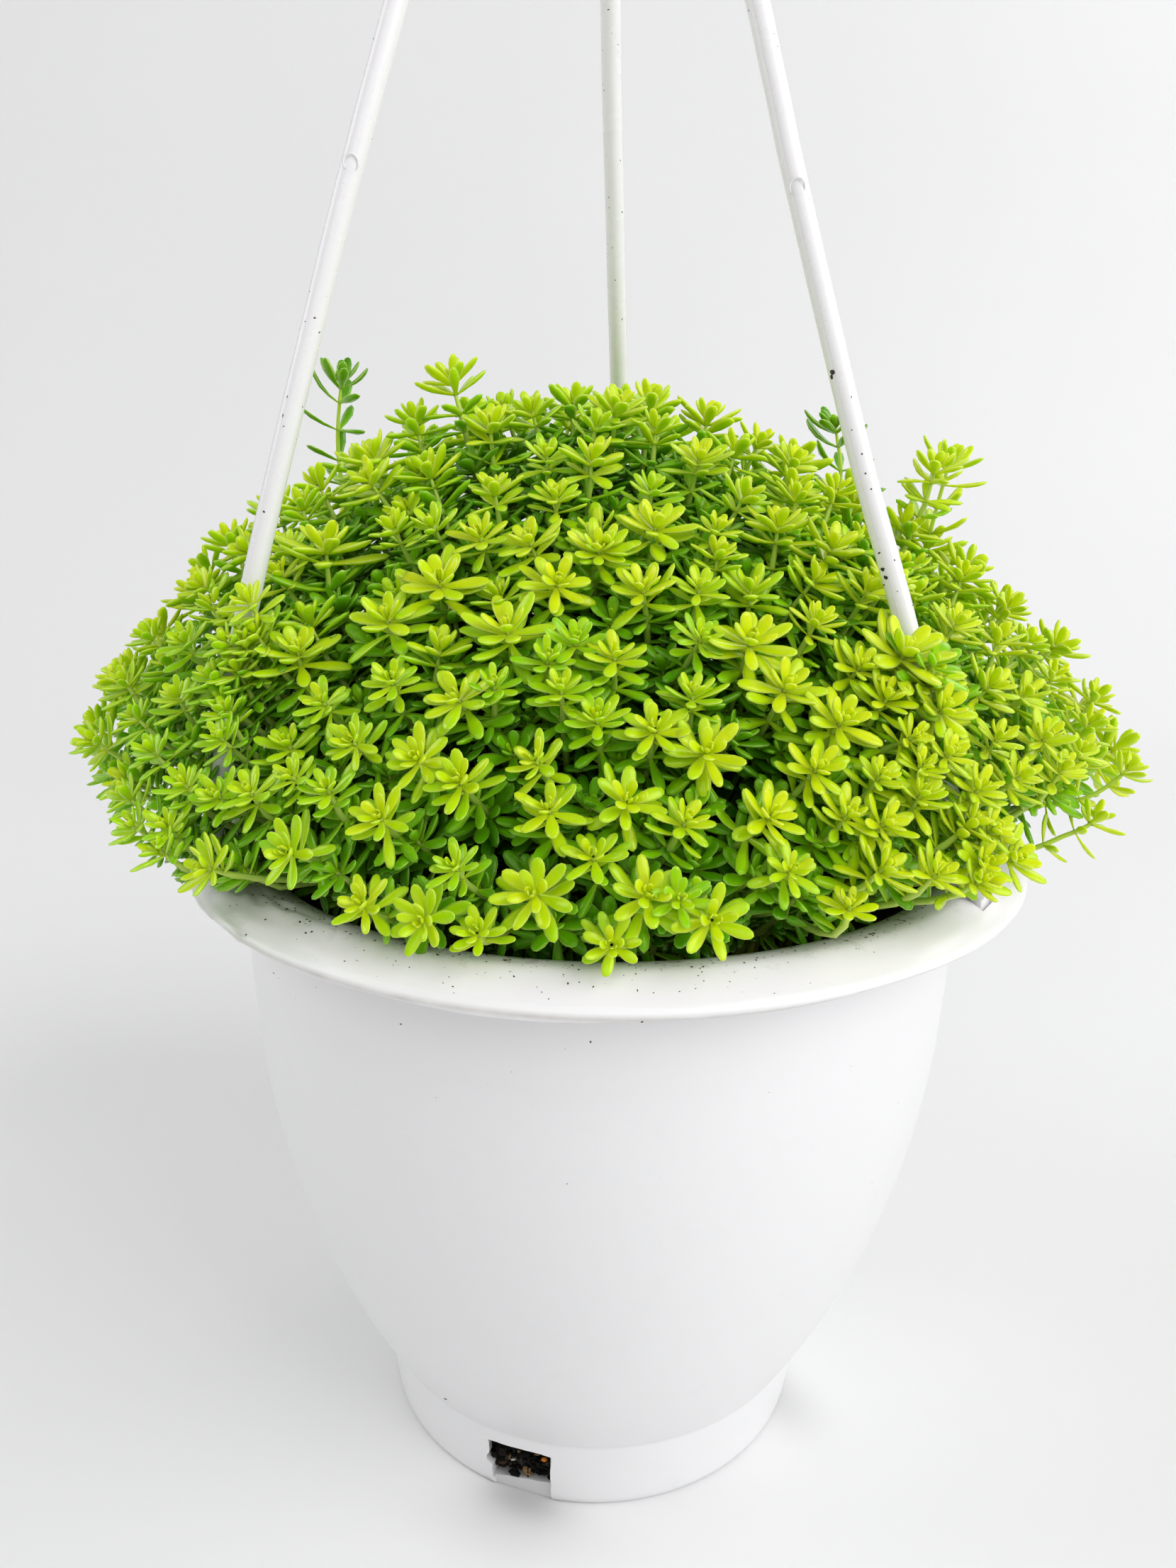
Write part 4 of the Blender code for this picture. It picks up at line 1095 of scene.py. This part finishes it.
def shoot(store, path, size, age, rnd, tight=0.0, whorls=4, gap=4.0, fine=True, plain=False, ageing=0.135, slim=1.0):
    """One leafy shoot along a stem path, tip last. size is the rosette's radius."""
    along = [0.0]
    for a, b in zip(path, path[1:]):
        along.append(along[-1] + (b - a).length)
    total = along[-1]

    def at(back):
        want = max(0.0, total - back)
        i = max(0, min(len(path) - 2, next((k for k, v in enumerate(along) if v > want), len(path) - 1) - 1))
        f = (want - along[i]) / max(1e-9, along[i + 1] - along[i])
        p = path[i].lerp(path[i + 1], min(1.0, max(0.0, f)))
        return p, (path[i + 1] - path[i]).normalized()
    tip, axis = at(0.0)
    turn = rnd.uniform(0, 6.28)
    kind = "big" if fine else "low"
    # painted shade of the head's leaves, from its depth in the cushion
    deep = painted_shade_amount(tip)
    for k in range(4 if fine else (1 if plain else 3)):
        beta = math.radians(rnd.uniform(8, 34))
        store["bud"].append(leaf_row(tip + axis * 0.5, axis, turn + k * GOLD * 1.5, beta, size * rnd.uniform(0.26, 0.36), size * 0.17, 0.5,
                                     age * 0.6, rnd.random(), deep))
    inner = 5 if rnd.random() < 0.75 else 4
    for k in range(inner):
        beta = math.radians(rnd.uniform(42, 60) - 16 * tight)
        store[kind].append(leaf_row(tip + axis * 0.15, axis, turn + 2 * math.pi * k / inner + rnd.uniform(-0.14, 0.14), beta,
                                    size * rnd.uniform(0.56, 0.72), size * slim * rnd.uniform(0.27, 0.335), rnd.uniform(0.10, 0.45),
                                    age + rnd.uniform(0, 0.04), rnd.random(), deep, rnd.uniform(-0.1, 0.1)))
    outer = rnd.choice((6, 6, 6, 7, 7) if fine else (5, 6, 6)) if slim == 1.0 else 5
    turn += math.pi / inner + rnd.uniform(-0.1, 0.1)
    p, ax = at(1.1)
    for k in range(outer):
        beta = math.radians(rnd.uniform(66, 84) - 20 * tight)
        store[kind].append(leaf_row(p, axis, turn + 2 * math.pi * k / outer + rnd.uniform(-0.22, 0.22), beta,
                                    size * rnd.uniform(0.84, 1.12), size * slim * (rnd.uniform(0.315, 0.39) + (0.0 if fine else 0.03)), rnd.uniform(-0.22, 0.34) + (0.35 if slim < 1.0 else 0.0),
                                    age + 0.05 + rnd.uniform(0, 0.07), rnd.random(), deep, rnd.uniform(-0.15, 0.15)))
    back, number = (3.2, rnd.choice((4, 5, 5))) if slim == 1.0 else (4.4, 3)
    for w in range(whorls):
        if back > total - 6:
            break
        p, ax = at(back)
        turn += 0.6 + rnd.uniform(-0.3, 0.3)
        # painted light: whorls on the right flank are made lighter where more light falls
        painted_light_right = 0.45 * min(1.0, max(0.0, (p.x - 15.0) / 60.0))
        a = min(1.0, age + ((0.10 + w) * ageing * 1.2 + 0.8 * ageing) * (1.0 - painted_light_right) + rnd.uniform(-0.04, 0.06))
        # painted shade of the whorl's leaves, from its depth in the cushion
        deep = painted_shade_amount(p)
        for k in range(number):
            beta = math.radians(rnd.uniform(70, 98) - 14 * tight)
            row = leaf_row(p, ax, turn + 2 * math.pi * k / number + rnd.uniform(-0.25, 0.25), beta,
                           size * rnd.uniform(0.95, 1.28), size * slim * rnd.uniform(0.33, 0.41), rnd.uniform(-0.40, 0.45) + (0.45 if slim < 1.0 else 0.0),
                           a, rnd.random(), deep, rnd.uniform(-0.3, 0.3))
            if p.y < 60 and p.z < 165:
                end = row[0] + row[1] * row[3]
                tx, ty, tw = pixel(end)
                if slim == 1.0 and ty > np.interp(tx, HEM_X, HEM_Y) + 2 and math.hypot(end.x - RIM_SHIFT, end.y) > 75.5:
                    continue
            store["low" if w == 0 and fine else "tiny"].append(row)
        back += gap * rnd.uniform(0.85, 1.2)
        number = max(3, number - 1) if w else number
    store["stem"].append((path, age - 1.4 if slim < 1.0 else age, 0.62 if slim < 1.0 else 0.82))


def leafy_piece(name, store):
    """Turns the collected rows of one clump into a single piece."""
    verts, cols, sides, faces, uv = [], [], [], [], []
    n = 0
    cells = sum(len(store[k]) for k in ("big", "low", "tiny", "bud")) + len(store["stem"])
    grid = int(math.ceil(math.sqrt(cells)))
    cell = 0

    def place(c, coords):
        """UV coordinates put in a cell of the piece's own map, with a small margin."""
        o = np.stack([c % grid, c // grid], -1)[:, None, None, :]
        return (o + 0.05 + 0.90 * coords[None]) / grid
    for kind, shape in (("big", BIG), ("low", LOW), ("tiny", TINY), ("bud", BUD)):
        rows = store[kind]
        if not rows:
            continue
        P, col, side = leaf_points(shape, rows)
        K = len(rows)
        verts.append(P.reshape(-1, 3)); cols.append(col.reshape(-1, 4)); sides.append(side.reshape(-1, 4))
        start = n + np.arange(K)[:, None, None] * shape.count
        c = cell + np.arange(K)
        faces += (shape.quads[None] + start).reshape(-1, 4).tolist()
        uv.append(place(c, shape.quv).reshape(-1, 2))
        faces += (shape.tris[None] + start).reshape(-1, 3).tolist()
        uv.append(place(c, shape.tuv).reshape(-1, 2))
        n += K * shape.count
        cell += K
    for path, age, thick in store["stem"]:
        steps = len(path)
        radii = [thick - 0.22 * i / steps for i in range(steps - 1)] + [0.3]
        v, f = tube(path, radii, 5, False)
        verts.append(np.array(v))
        share = np.repeat(1 - np.arange(steps) / (steps - 1), 5)
        # painted shade of the stems, from their depth in the cushion
        low = np.repeat([painted_shade_amount(p) for p in path], 5)
        cols.append(np.stack([np.clip(age + share * 0.9, 0, 1), np.full(len(v), 0.5), np.full(len(v), 0.5), np.zeros(len(v))], -1))
        sides.append(np.stack([np.ones(len(v)), np.ones(len(v)), low, np.ones(len(v))], -1))
        faces += [tuple(i + n for i in q) for q in f]
        coords = []
        for i in range(steps - 1):
            for k in range(5):
                coords.append(((k / 5, i / (steps - 1)), ((k + 1) / 5, i / (steps - 1)), ((k + 1) / 5, (i + 1) / (steps - 1)), (k / 5, (i + 1) / (steps - 1))))
        uv.append(place(np.array([cell]), np.array(coords)).reshape(-1, 2))
        n += len(v)
        cell += 1
    mesh = bpy.data.meshes.new(name)
    mesh.from_pydata((np.concatenate(verts) * MM).tolist(), [], faces)
    a = mesh.color_attributes.new("leaf", "FLOAT_COLOR", "POINT")
    a.data.foreach_set("color", np.concatenate(cols).astype(np.float32).ravel())
    a = mesh.color_attributes.new("leaf_side_and_shade", "FLOAT_COLOR", "POINT")
    a.data.foreach_set("color", np.concatenate(sides).astype(np.float32).ravel())
    layer = mesh.uv_layers.new(name="OFBake")
    layer.data.foreach_set("uv", np.concatenate(uv).astype(np.float32).ravel())
    mesh.materials.append(LEAF)
    mesh.shade_smooth()
    ob = bpy.data.objects.new(name, mesh)
    bpy.context.scene.collection.objects.link(ob)
    return ob, len(mesh.loop_triangles) if mesh.loop_triangles else sum(len(f) - 2 for f in faces)


def stem_path(foot, head, axis, steps=9):
    """Way of a stem from the mix to its tip: up, over the rim where need be, and out along axis."""
    reach = (head - foot).length
    a = foot + Vector((0, 0, min(28.0, reach * 0.42)))
    b = head - axis * min(26.0, reach * 0.42)
    pts = []
    for k in range(steps):
        s = (k / (steps - 1)) ** 0.8
        p = foot * (1 - s) ** 3 + a * 3 * s * (1 - s) ** 2 + b * 3 * s * s * (1 - s) + head * s ** 3
        r = math.hypot(p.x, p.y)
        if 68.0 < r < 94.0 and k < steps - 2:
            p.z = max(p.z, 145.8)
        pts.append(p)
    return pts


# Rosettes noted on the real plant: place in the picture and radius, both in its pixels, then
# tone (0 young and bright, 1 deep green) and how closed it is.
NOTED = (
    # lowest row, over the rim
    (509, 1274, 46, .05, .1), (596, 1298, 56, .06, .1), (673, 1316, 42, .08, .2), (754, 1261, 56, .04, 0), (863, 1333, 48, .08, .2),
    (914, 1263, 58, .02, 0), (1005, 1298, 56, .08, .2), (959, 1268, 40, .22, .3), (1200, 1277, 42, .10, .3), (1247, 1225, 56, .05, .1),
    (1322, 1233, 50, .10, .2), (1430, 1211, 50, .12, .3), (291, 1225, 56, .10, .3), (406, 1202, 50, .16, .1),
    # front
    (641, 1222, 42, .18, .3), (837, 1208, 40, .10, .2), (968, 1159, 48, .08, .1), (1087, 1151, 54, .06, .1), (774, 1141, 56, .04, .1),
    (885, 1131, 58, .05, .1), (535, 1153, 54, .05, .1), (462, 1113, 42, .16, .2), (352, 1117, 48, .14, .2), (411, 1095, 44, .16, .3),
    (647, 1102, 56, .06, .2), (589, 1071, 56, .03, .1), (755, 1072, 50, .05, .1), (996, 1060, 56, .04, .1), (924, 1027, 52, .05, .1),
    (842, 1014, 44, .14, .2), (1153, 1084, 58, .03, .1), (1250, 1161, 42, .16, .3), (1195, 1150, 38, .30, .3), (1371, 1161, 40, .14, .4),
    (1242, 1095, 44, .24, .4), (1381, 1112, 46, .10, .3), (1117, 1228, 42, .42, .2), (497, 1046, 44, .10, .2), (455, 990, 44, .12, .2),
    # middle
    (645, 985, 56, .03, .1), (552, 960, 44, .10, .1), (420, 918, 58, .04, .1), (360, 893, 42, .08, .3), (545, 873, 54, .05, .1),
    (715, 888, 60, .02, .1), (697, 966, 36, .22, .3), (792, 972, 42, .12, .2), (867, 925, 52, .05, .2), (812, 905, 34, .30, .3),
    (978, 979, 44, .14, .1), (1109, 970, 57, .0, .0), (1187, 1018, 56, .06, .1), (1059, 905, 60, .03, .1), (1153, 875, 40, .12, .5),
    (1275, 923, 74, .02, .1), (1331, 1001, 54, .05, .2), (1398, 968, 46, .08, .3), (1409, 1040, 40, .14, .3), (1475, 1040, 42, .12, .3),
    (990, 900, 34, .34, .2), (335, 945, 42, .14, .3), (318, 1002, 38, .20, .4), (332, 868, 38, .12, .4), (1312, 962, 42, .12, .3),
    (1290, 1040, 40, .18, .3), (1252, 985, 38, .20, .3), (1215, 940, 38, .18, .3), (1340, 1062, 42, .16, .3), (1302, 1080, 38, .22, .4),
    (772, 930, 36, .20, .3), (306, 1122, 38, .22, .4), (342, 905, 38, .14, .4), (350, 850, 36, .12, .5), (318, 905, 36, .18, .4),
    # upper
    (620, 822, 54, .03, .2), (460, 772, 58, .08, .0), (677, 757, 42, .08, .2), (747, 764, 44, .10, .2), (787, 822, 46, .06, .2),
    (907, 830, 52, .03, .5), (845, 775, 42, .10, .3), (925, 742, 50, .08, .2), (853, 770, 40, .14, .4), (1012, 745, 38, .16, .3),
    (1098, 742, 52, .02, .3), (1014, 780, 36, .14, .4), (1175, 772, 46, .12, .2), (1225, 832, 48, .06, .5), (987, 830, 38, .24, .3),
    (555, 745, 38, .16, .3), (610, 742, 38, .22, .3), (697, 690, 44, .14, .3), (785, 700, 36, .14, .4), (835, 648, 46, .10, .4),
    (772, 642, 36, .20, .4), (987, 647, 44, .12, .4), (920, 690, 38, .26, .4), (1050, 700, 36, .26, .4), (1125, 700, 36, .28, .4),
    # skyline
    (637, 535, 44, .08, .7), (587, 592, 40, .14, .7), (692, 602, 42, .10, .6), (750, 580, 38, .14, .7), (870, 578, 46, .08, .7),
    (842, 600, 36, .18, .6), (998, 592, 46, .10, .7), (925, 604, 36, .16, .6), (1070, 624, 38, .14, .6), (1120, 652, 36, .22, .6),
    (520, 678, 46, .10, .3), (450, 684, 38, .12, .6), (425, 712, 32, .20, .6), (1180, 690, 34, .30, .5),
    # left flank
    (325, 762, 38, .14, .7), (285, 826, 34, .16, .6), (395, 808, 38, .10, .4), (300, 852, 36, .14, .5), (210, 897, 36, .14, .6),
    (260, 905, 34, .20, .5), (175, 962, 36, .14, .6), (133, 1045, 38, .14, .6), (250, 982, 38, .16, .4), (190, 1010, 34, .22, .5),
    (300, 955, 34, .22, .5), (177, 1122, 36, .18, .5), (188, 1165, 34, .22, .5), (235, 1165, 36, .20, .4), (260, 1106, 36, .20, .4),
    (215, 1060, 34, .22, .5), (310, 1040, 36, .24, .4), (225, 1200, 34, .20, .4),
    # right flank
    (1320, 660, 40, .14, .8), (1359, 812, 38, .16, .6), (1423, 856, 34, .14, .7), (1409, 900, 36, .18, .5), (1350, 880, 34, .24, .5),
    (1487, 953, 34, .16, .6), (1537, 1020, 36, .14, .7), (1525, 1060, 34, .18, .5), 
    (1440, 1095, 38, .18, .4), (1500, 1085, 36, .20, .4), (1400, 1170, 36, .18, .4), (1388, 1217, 46, .12, .3), (1384, 1243, 42, .10, .2), (1300, 1120, 36, .26, .4), (1450, 905, 32, .24, .5),
)


# Long trailing shoots at the right: knots (x and y in the picture, distance in mm), tone, size, closed, whorls, gap
TRAILS = (
    (((1420, 1128, 246), (1471, 1136, 240), (1529, 1127, 236), (1568, 1106, 234), (1590, 1086, 233)), 0.02, 5.6, 0.3, 4, 6.0),
    (((1410, 1196, 236), (1457, 1197, 232), (1500, 1180, 230), (1530, 1168, 229), (1545, 1156, 229)), 0.03, 5.4, 0.3, 3, 6.4),
)


def near_arm(px, py, w, room):
    """True where a head would stand in front of a bare stretch of an arm."""
    for az, low in ((206.0, 199.0), (326.0, 193.0), (86.0, 236.0)):
        for p in ARMS[az][::6]:
            if p.z < low:
                continue
            q = pixel(p)
            if abs(q[0] - px) < room and abs(q[1] - py) < room and w < q[2] + 6.0:
                return True
    return False


def arm_clear(p, n, need):
    """Moves a head off an arm: outwards where leaves hide the arm, sideways where it is bare."""
    for az, low in ((206.0, 199.0), (326.0, 193.0), (86.0, 236.0)):
        a = math.radians(az)
        best = min(ARMS[az][::4], key=lambda w: (w - p).length)
        gap = (best - p).length
        if gap >= need:
            continue
        if p.z < low - 4:
            k = 0
            while (min(ARMS[az][::4], key=lambda w: (w - p).length) - p).length < need and k < 12:
                p = p + n * 1.0
                k += 1
        else:
            phi = math.atan2(p.y, p.x)
            d = (phi - a + math.pi) % (2 * math.pi) - math.pi
            step = (1 if d >= 0 else -1) * (need - gap + 0.4) / max(20.0, math.hypot(p.x, p.y))
            c, s = math.cos(step), math.sin(step)
            p = Vector((c * p.x - s * p.y, s * p.x + c * p.y, p.z))
    return p


# Lower limit of the leaves in the picture, left to right, in its pixels
HEM = ((60, 1075), (100, 1100), (135, 1140), (160, 1195), (190, 1215), (245, 1262), (290, 1272), (345, 1262), (365, 1228),
       (420, 1248), (452, 1280), (500, 1312), (560, 1340), (700, 1335), (800, 1345), (860, 1380), (930, 1330), (1000, 1330),
       (1060, 1318), (1110, 1296), (1185, 1306), (1225, 1275), (1290, 1262), (1320, 1278), (1350, 1266), (1362, 1258), (1390, 1278),
       (1420, 1262), (1450, 1236), (1462, 1150), (1510, 1132), (1560, 1118), (1600, 1100), (1640, 1080), (1700, 1060))
HEM_X, HEM_Y = [h[0] for h in HEM], [h[1] for h in HEM]


def clump_places():
    """Name and middle of each rooted clump, as in the part."""
    words = ["right", "back_right", "back", "back_left", "left", "front_left", "front", "front_right"]
    rows = [("crown", 0.0, 0.0)]
    rows += [("upper", 0.30, math.radians(30 + 60 * i)) for i in range(6)]
    rows += [("middle", 0.60, math.radians(101 + 30 * i)) for i in range(12)]
    rows += [("outer", 0.895, math.radians(98 + 24 * i)) for i in range(15)]
    used, out = {}, []
    for ring, t, phi in rows:
        if ring == "crown":
            name = "crown"
        else:
            word = words[int(((math.degrees(phi) % 360 + 22.5) % 360) // 45)]
            used[(ring, word)] = used.get((ring, word), 0) + 1
            name = f"{ring}_{word}_{used[(ring, word)]}"
        out.append((name, t, phi, canopy(t, phi)))
    return out


def build_plant():
    rnd = random.Random(77)
    places = clump_places()
    stores = {name: {"big": [], "low": [], "tiny": [], "bud": [], "stem": []} for name, *_ in places}
    heads = []          # (t, phi, head, size, tone, tight, kind: 0 noted, 1 seen, 2 deep, 3 far side)
    for px, py, r, tone, tight in NOTED:
        t, phi, p = to_surface(px, py)
        w = (p - EYE).dot(FORWARD)
        size = min(10.4, max(5.2, r * w / FOCAL_PX))
        # heads that hide the lower stretch of an arm stand in front of it
        for az, end in ((206.0, 838.0), (326.0, 884.0)):
            for q in ARMS[az][::3]:
                ax, ay, aw = pixel(q)
                if ay > end and abs(ay - py) < 9 and abs(ax - px) < 46 and w > aw - 5.5:
                    p = EYE + (p - EYE) * ((aw - 5.5) / w)
                    w = aw - 5.5
        # painted light: heads on the right flank, near the top and at the far left are made lighter, those below the
        # middle a little darker, after how the light falls on them
        tone = min(0.22, tone) + 0.03 * (py > 850)
        tone = max(0.0, tone - 0.22 * max(0.0, min(1.0, (px - 950) / 250)) - 0.06 * (py < 850) - 0.04 * (px < 420))
        heads.append((t, phi, p, size * rnd.uniform(0.92, 1.10), tone, tight, 0))
    # the rest of the cushion, evenly scattered between them: level 0 near the surface, level 1 deeper
    for level, count in ((0, 9000), (1, 7000)):
        own = [] if level else heads
        for k in range(count):
            phi = rnd.uniform(0, 2 * math.pi)
            t = rnd.uniform(0.0, 1.03)
            r, z, along = outline(phi)
            rho = np.interp(min(1.0, t) * along[-1], along, r)
            if rnd.random() > rho * along[-1] / (128.0 * 165.0):
                continue
            p = canopy(t, phi)
            n = canopy_normal(t, phi)
            seen = n.dot((EYE - p).normalized()) > 0.06
            px, py, w = pixel(p)
            if t > 0.7 and p.y < 75 and py + 34 > np.interp(px, HEM_X, HEM_Y):
                continue
            need = (8.6 if seen else 17.0) if level else (11.2 if not seen else 9.6)
            if any((p - h[2]).length < need * (0.5 + 0.5 * (h[3] / 6.4)) for h in own):
                continue
            if not level and abs(n.dot((EYE - p).normalized())) < 0.22 and rnd.random() < 0.40:
                continue
            if not level and seen and near_arm(px, py, w, 30.0):
                continue
            if level:
                own.append((t, phi, p, 6.4))
                p = p - n * rnd.uniform(7.0, 13.0)
                heads.append((t, phi, p, rnd.uniform(6.2, 7.6), rnd.uniform(0.26, 0.50), rnd.uniform(0.0, 0.4), 2))
            else:
                sink = rnd.uniform(1.5, 6.5) if seen else rnd.uniform(-1.0, 2.5)
                # painted light: heads turned away from the front, on the flanks and back, get lighter tones, and those
                # on the right flank lighter still
                tone = rnd.uniform(0.05, 0.22) if seen else rnd.uniform(0.0, 0.14)
                tone = max(0.0, tone - 0.12 * max(0.0, min(1.0, (p.x - 20) / 60)))
                size = rnd.uniform(5.6, 6.8) if seen else rnd.uniform(6.3, 7.9)
                heads.append((t, phi, p - n * sink, size, tone, rnd.uniform(0.0, 0.6), 1 if seen else 3))
    for k in range(84):
        phi = math.radians(184 + 172 * (k + rnd.uniform(-0.3, 0.3)) / 83)
        r = rnd.uniform(56.0, 68.5)
        p = Vector((RIM_SHIFT + r * math.cos(phi), r * math.sin(phi), 137.0 + (r - 56.0) * 0.45 + rnd.uniform(0.0, 6.0)))
        heads.append((0.95, phi, p, rnd.uniform(4.6, 6.0), rnd.uniform(0.30, 0.62), rnd.uniform(0.6, 1.0), 2))
    made = [0, 0, 0, 0]
    for t, phi, p, size, tone, tight, kind in heads:
        n = canopy_normal(t, phi)
        up = 0.18 + 0.55 * tight
        axis = (n * (1 - up) + Vector((0, 0, 1)) * up + Vector((rnd.gauss(0, 1), rnd.gauss(0, 1), rnd.gauss(0, 1))) * (0.17 if kind == 0 else 0.20)).normalized()
        if kind:
            p = arm_clear(p, n, 6.0)
        # the heads near the top are a little larger, on looser shoots
        size *= 1 + 0.13 * min(1.0, max(0.0, (p.z - 176.0) / 26.0))
        foot = soil_point(t, phi)
        foot += Vector((rnd.uniform(-3, 3), rnd.uniform(-3, 3), 0))
        path = stem_path(foot, p, axis)
        home = min(places, key=lambda c: (c[3] - p).length)[0]
        whorls = (7, 6, 3, 4)[kind] if t < 0.85 else (5, 4, 2, 3)[kind]
        shoot(stores[home], path, size, tone, rnd, tight, whorls, 4.2 if kind == 0 else 3.9, kind == 0, kind == 2)
        made[kind] += 1
    # three long shoots that stand out of the cushion
    for pts, tone, size, gap in ((((-63.0, 43.0, 200.0), (-64.4, 41.0, 220.5), (-62.8, 40.0, 235.6)), 0.66, 8.8, 6.3),
                                 (((55.0, 41.0, 198.0), (55.6, 38.5, 216.0), (53.4, 37.5, 227.0)), 0.66, 8.6, 6.0),
                                 (((70.5, 19.0, 190.0), (72.6, 17.0, 206.0), (74.8, 16.0, 219.5)), 0.03, 8.2, 4.9)):
        path = smooth_path(pts, 10)
        home = min(places, key=lambda c: (c[3] - path[0]).length)[0]
        store = stores[home]
        shoot(store, path, size, tone, rnd, 0.6, 6, gap, True, False, 0.03, 0.84)
    for knots, tone, size, tight, whorls, gap in TRAILS:
        pts = []
        for px, py, depth in knots:
            d = ray(px, py)
            pts.append(tuple(EYE + d * (depth / d.dot(FORWARD))))
        path = smooth_path(pts, 12)
        home = min(places, key=lambda c: (c[3] - path[0]).length)[0]
        shoot(stores[home], path, size, tone, rnd, tight, whorls, gap, True, False, 0.04, 0.95)
    total = 0
    for name, *_ in places:
        ob, tris = leafy_piece("sedum_shoots_" + name, stores[name])
        node = "sedum_clump_" + name
        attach(ob, "root")
        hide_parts(node)
        total += tris
    print("shoots", made, "leaf triangles", total)


# ---------------------------------------------------------------- stage and light
def build_stage():
    """Pale paper that runs back along the table and curves up behind, far from the pot."""
    rows = []
    for y in (-1.6, -0.8, -0.3, 0.0, 0.3, 0.55):
        rows.append((y, 0.0))
    for k in range(1, 17):
        a = math.radians(90 * k / 16)
        rows.append((0.55 + 0.55 * math.sin(a), 0.55 * (1 - math.cos(a))))
    rows += [(1.1, 1.2), (1.1, 2.4)]
    verts, faces = [], []
    xs = np.linspace(-3.4, 3.4, 18)
    for y, z in rows:
        for x in xs:
            verts.append((float(x), y, z - 0.0001))
    for i in range(len(rows) - 1):
        for k in range(len(xs) - 1):
            a = i * len(xs) + k
            faces.append((a, a + 1, a + 1 + len(xs), a + len(xs)))
    mesh = bpy.data.meshes.new("paper_sweep")
    mesh.from_pydata(verts, [], faces)
    mesh.materials.append(PAPER)
    mesh.shade_smooth()
    ob = bpy.data.objects.new("paper_sweep", mesh)
    bpy.context.scene.collection.objects.link(ob)


def area_light(name, at, to, size, watts, colour=(1.0, 1.0, 1.0)):
    data = bpy.data.lights.new(name, "AREA")
    data.shape, data.size = "DISK", size
    data.energy, data.color = watts, colour
    ob = bpy.data.objects.new(name, data)
    ob.location = at
    ob.rotation_euler = (Vector(to) - Vector(at)).to_track_quat("-Z", "Y").to_euler()
    bpy.context.scene.collection.objects.link(ob)


def build_light():
    world = bpy.data.worlds.new("soft_room")
    world.use_nodes = True
    back = world.node_tree.nodes["Background"]
    back.inputs[0].default_value = (1.0, 1.0, 1.0, 1.0)
    back.inputs[1].default_value = 0.27
    bpy.context.scene.world = world
    middle = (0.0, 0.0, 0.12)
    area_light("key_right_front", (1.3, -0.9, 1.3), middle, 1.6, 22.1)
    area_light("broad_front", (0.0, -1.6, 1.5), middle, 2.0, 10.9)
    area_light("left_fill", (-1.2, 0.1, 0.9), middle, 1.0, 6.6)
    area_light("right_back", (0.9, 0.7, 1.1), middle, 0.9, 3.6)
    area_light("right_side", (1.3, -0.1, 0.5), middle, 0.9, 1.6)


# ---------------------------------------------------------------- the object
pot = build_pot()
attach(pot, "root")
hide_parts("pot")
specks = build_specks()
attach(specks, "root")
hanger = build_hanger()
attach(hanger, "root")
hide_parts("hanger")
soil = build_mix()
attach(soil, "root")
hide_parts("potting_mix")
build_plant()
build_stage()
build_light()
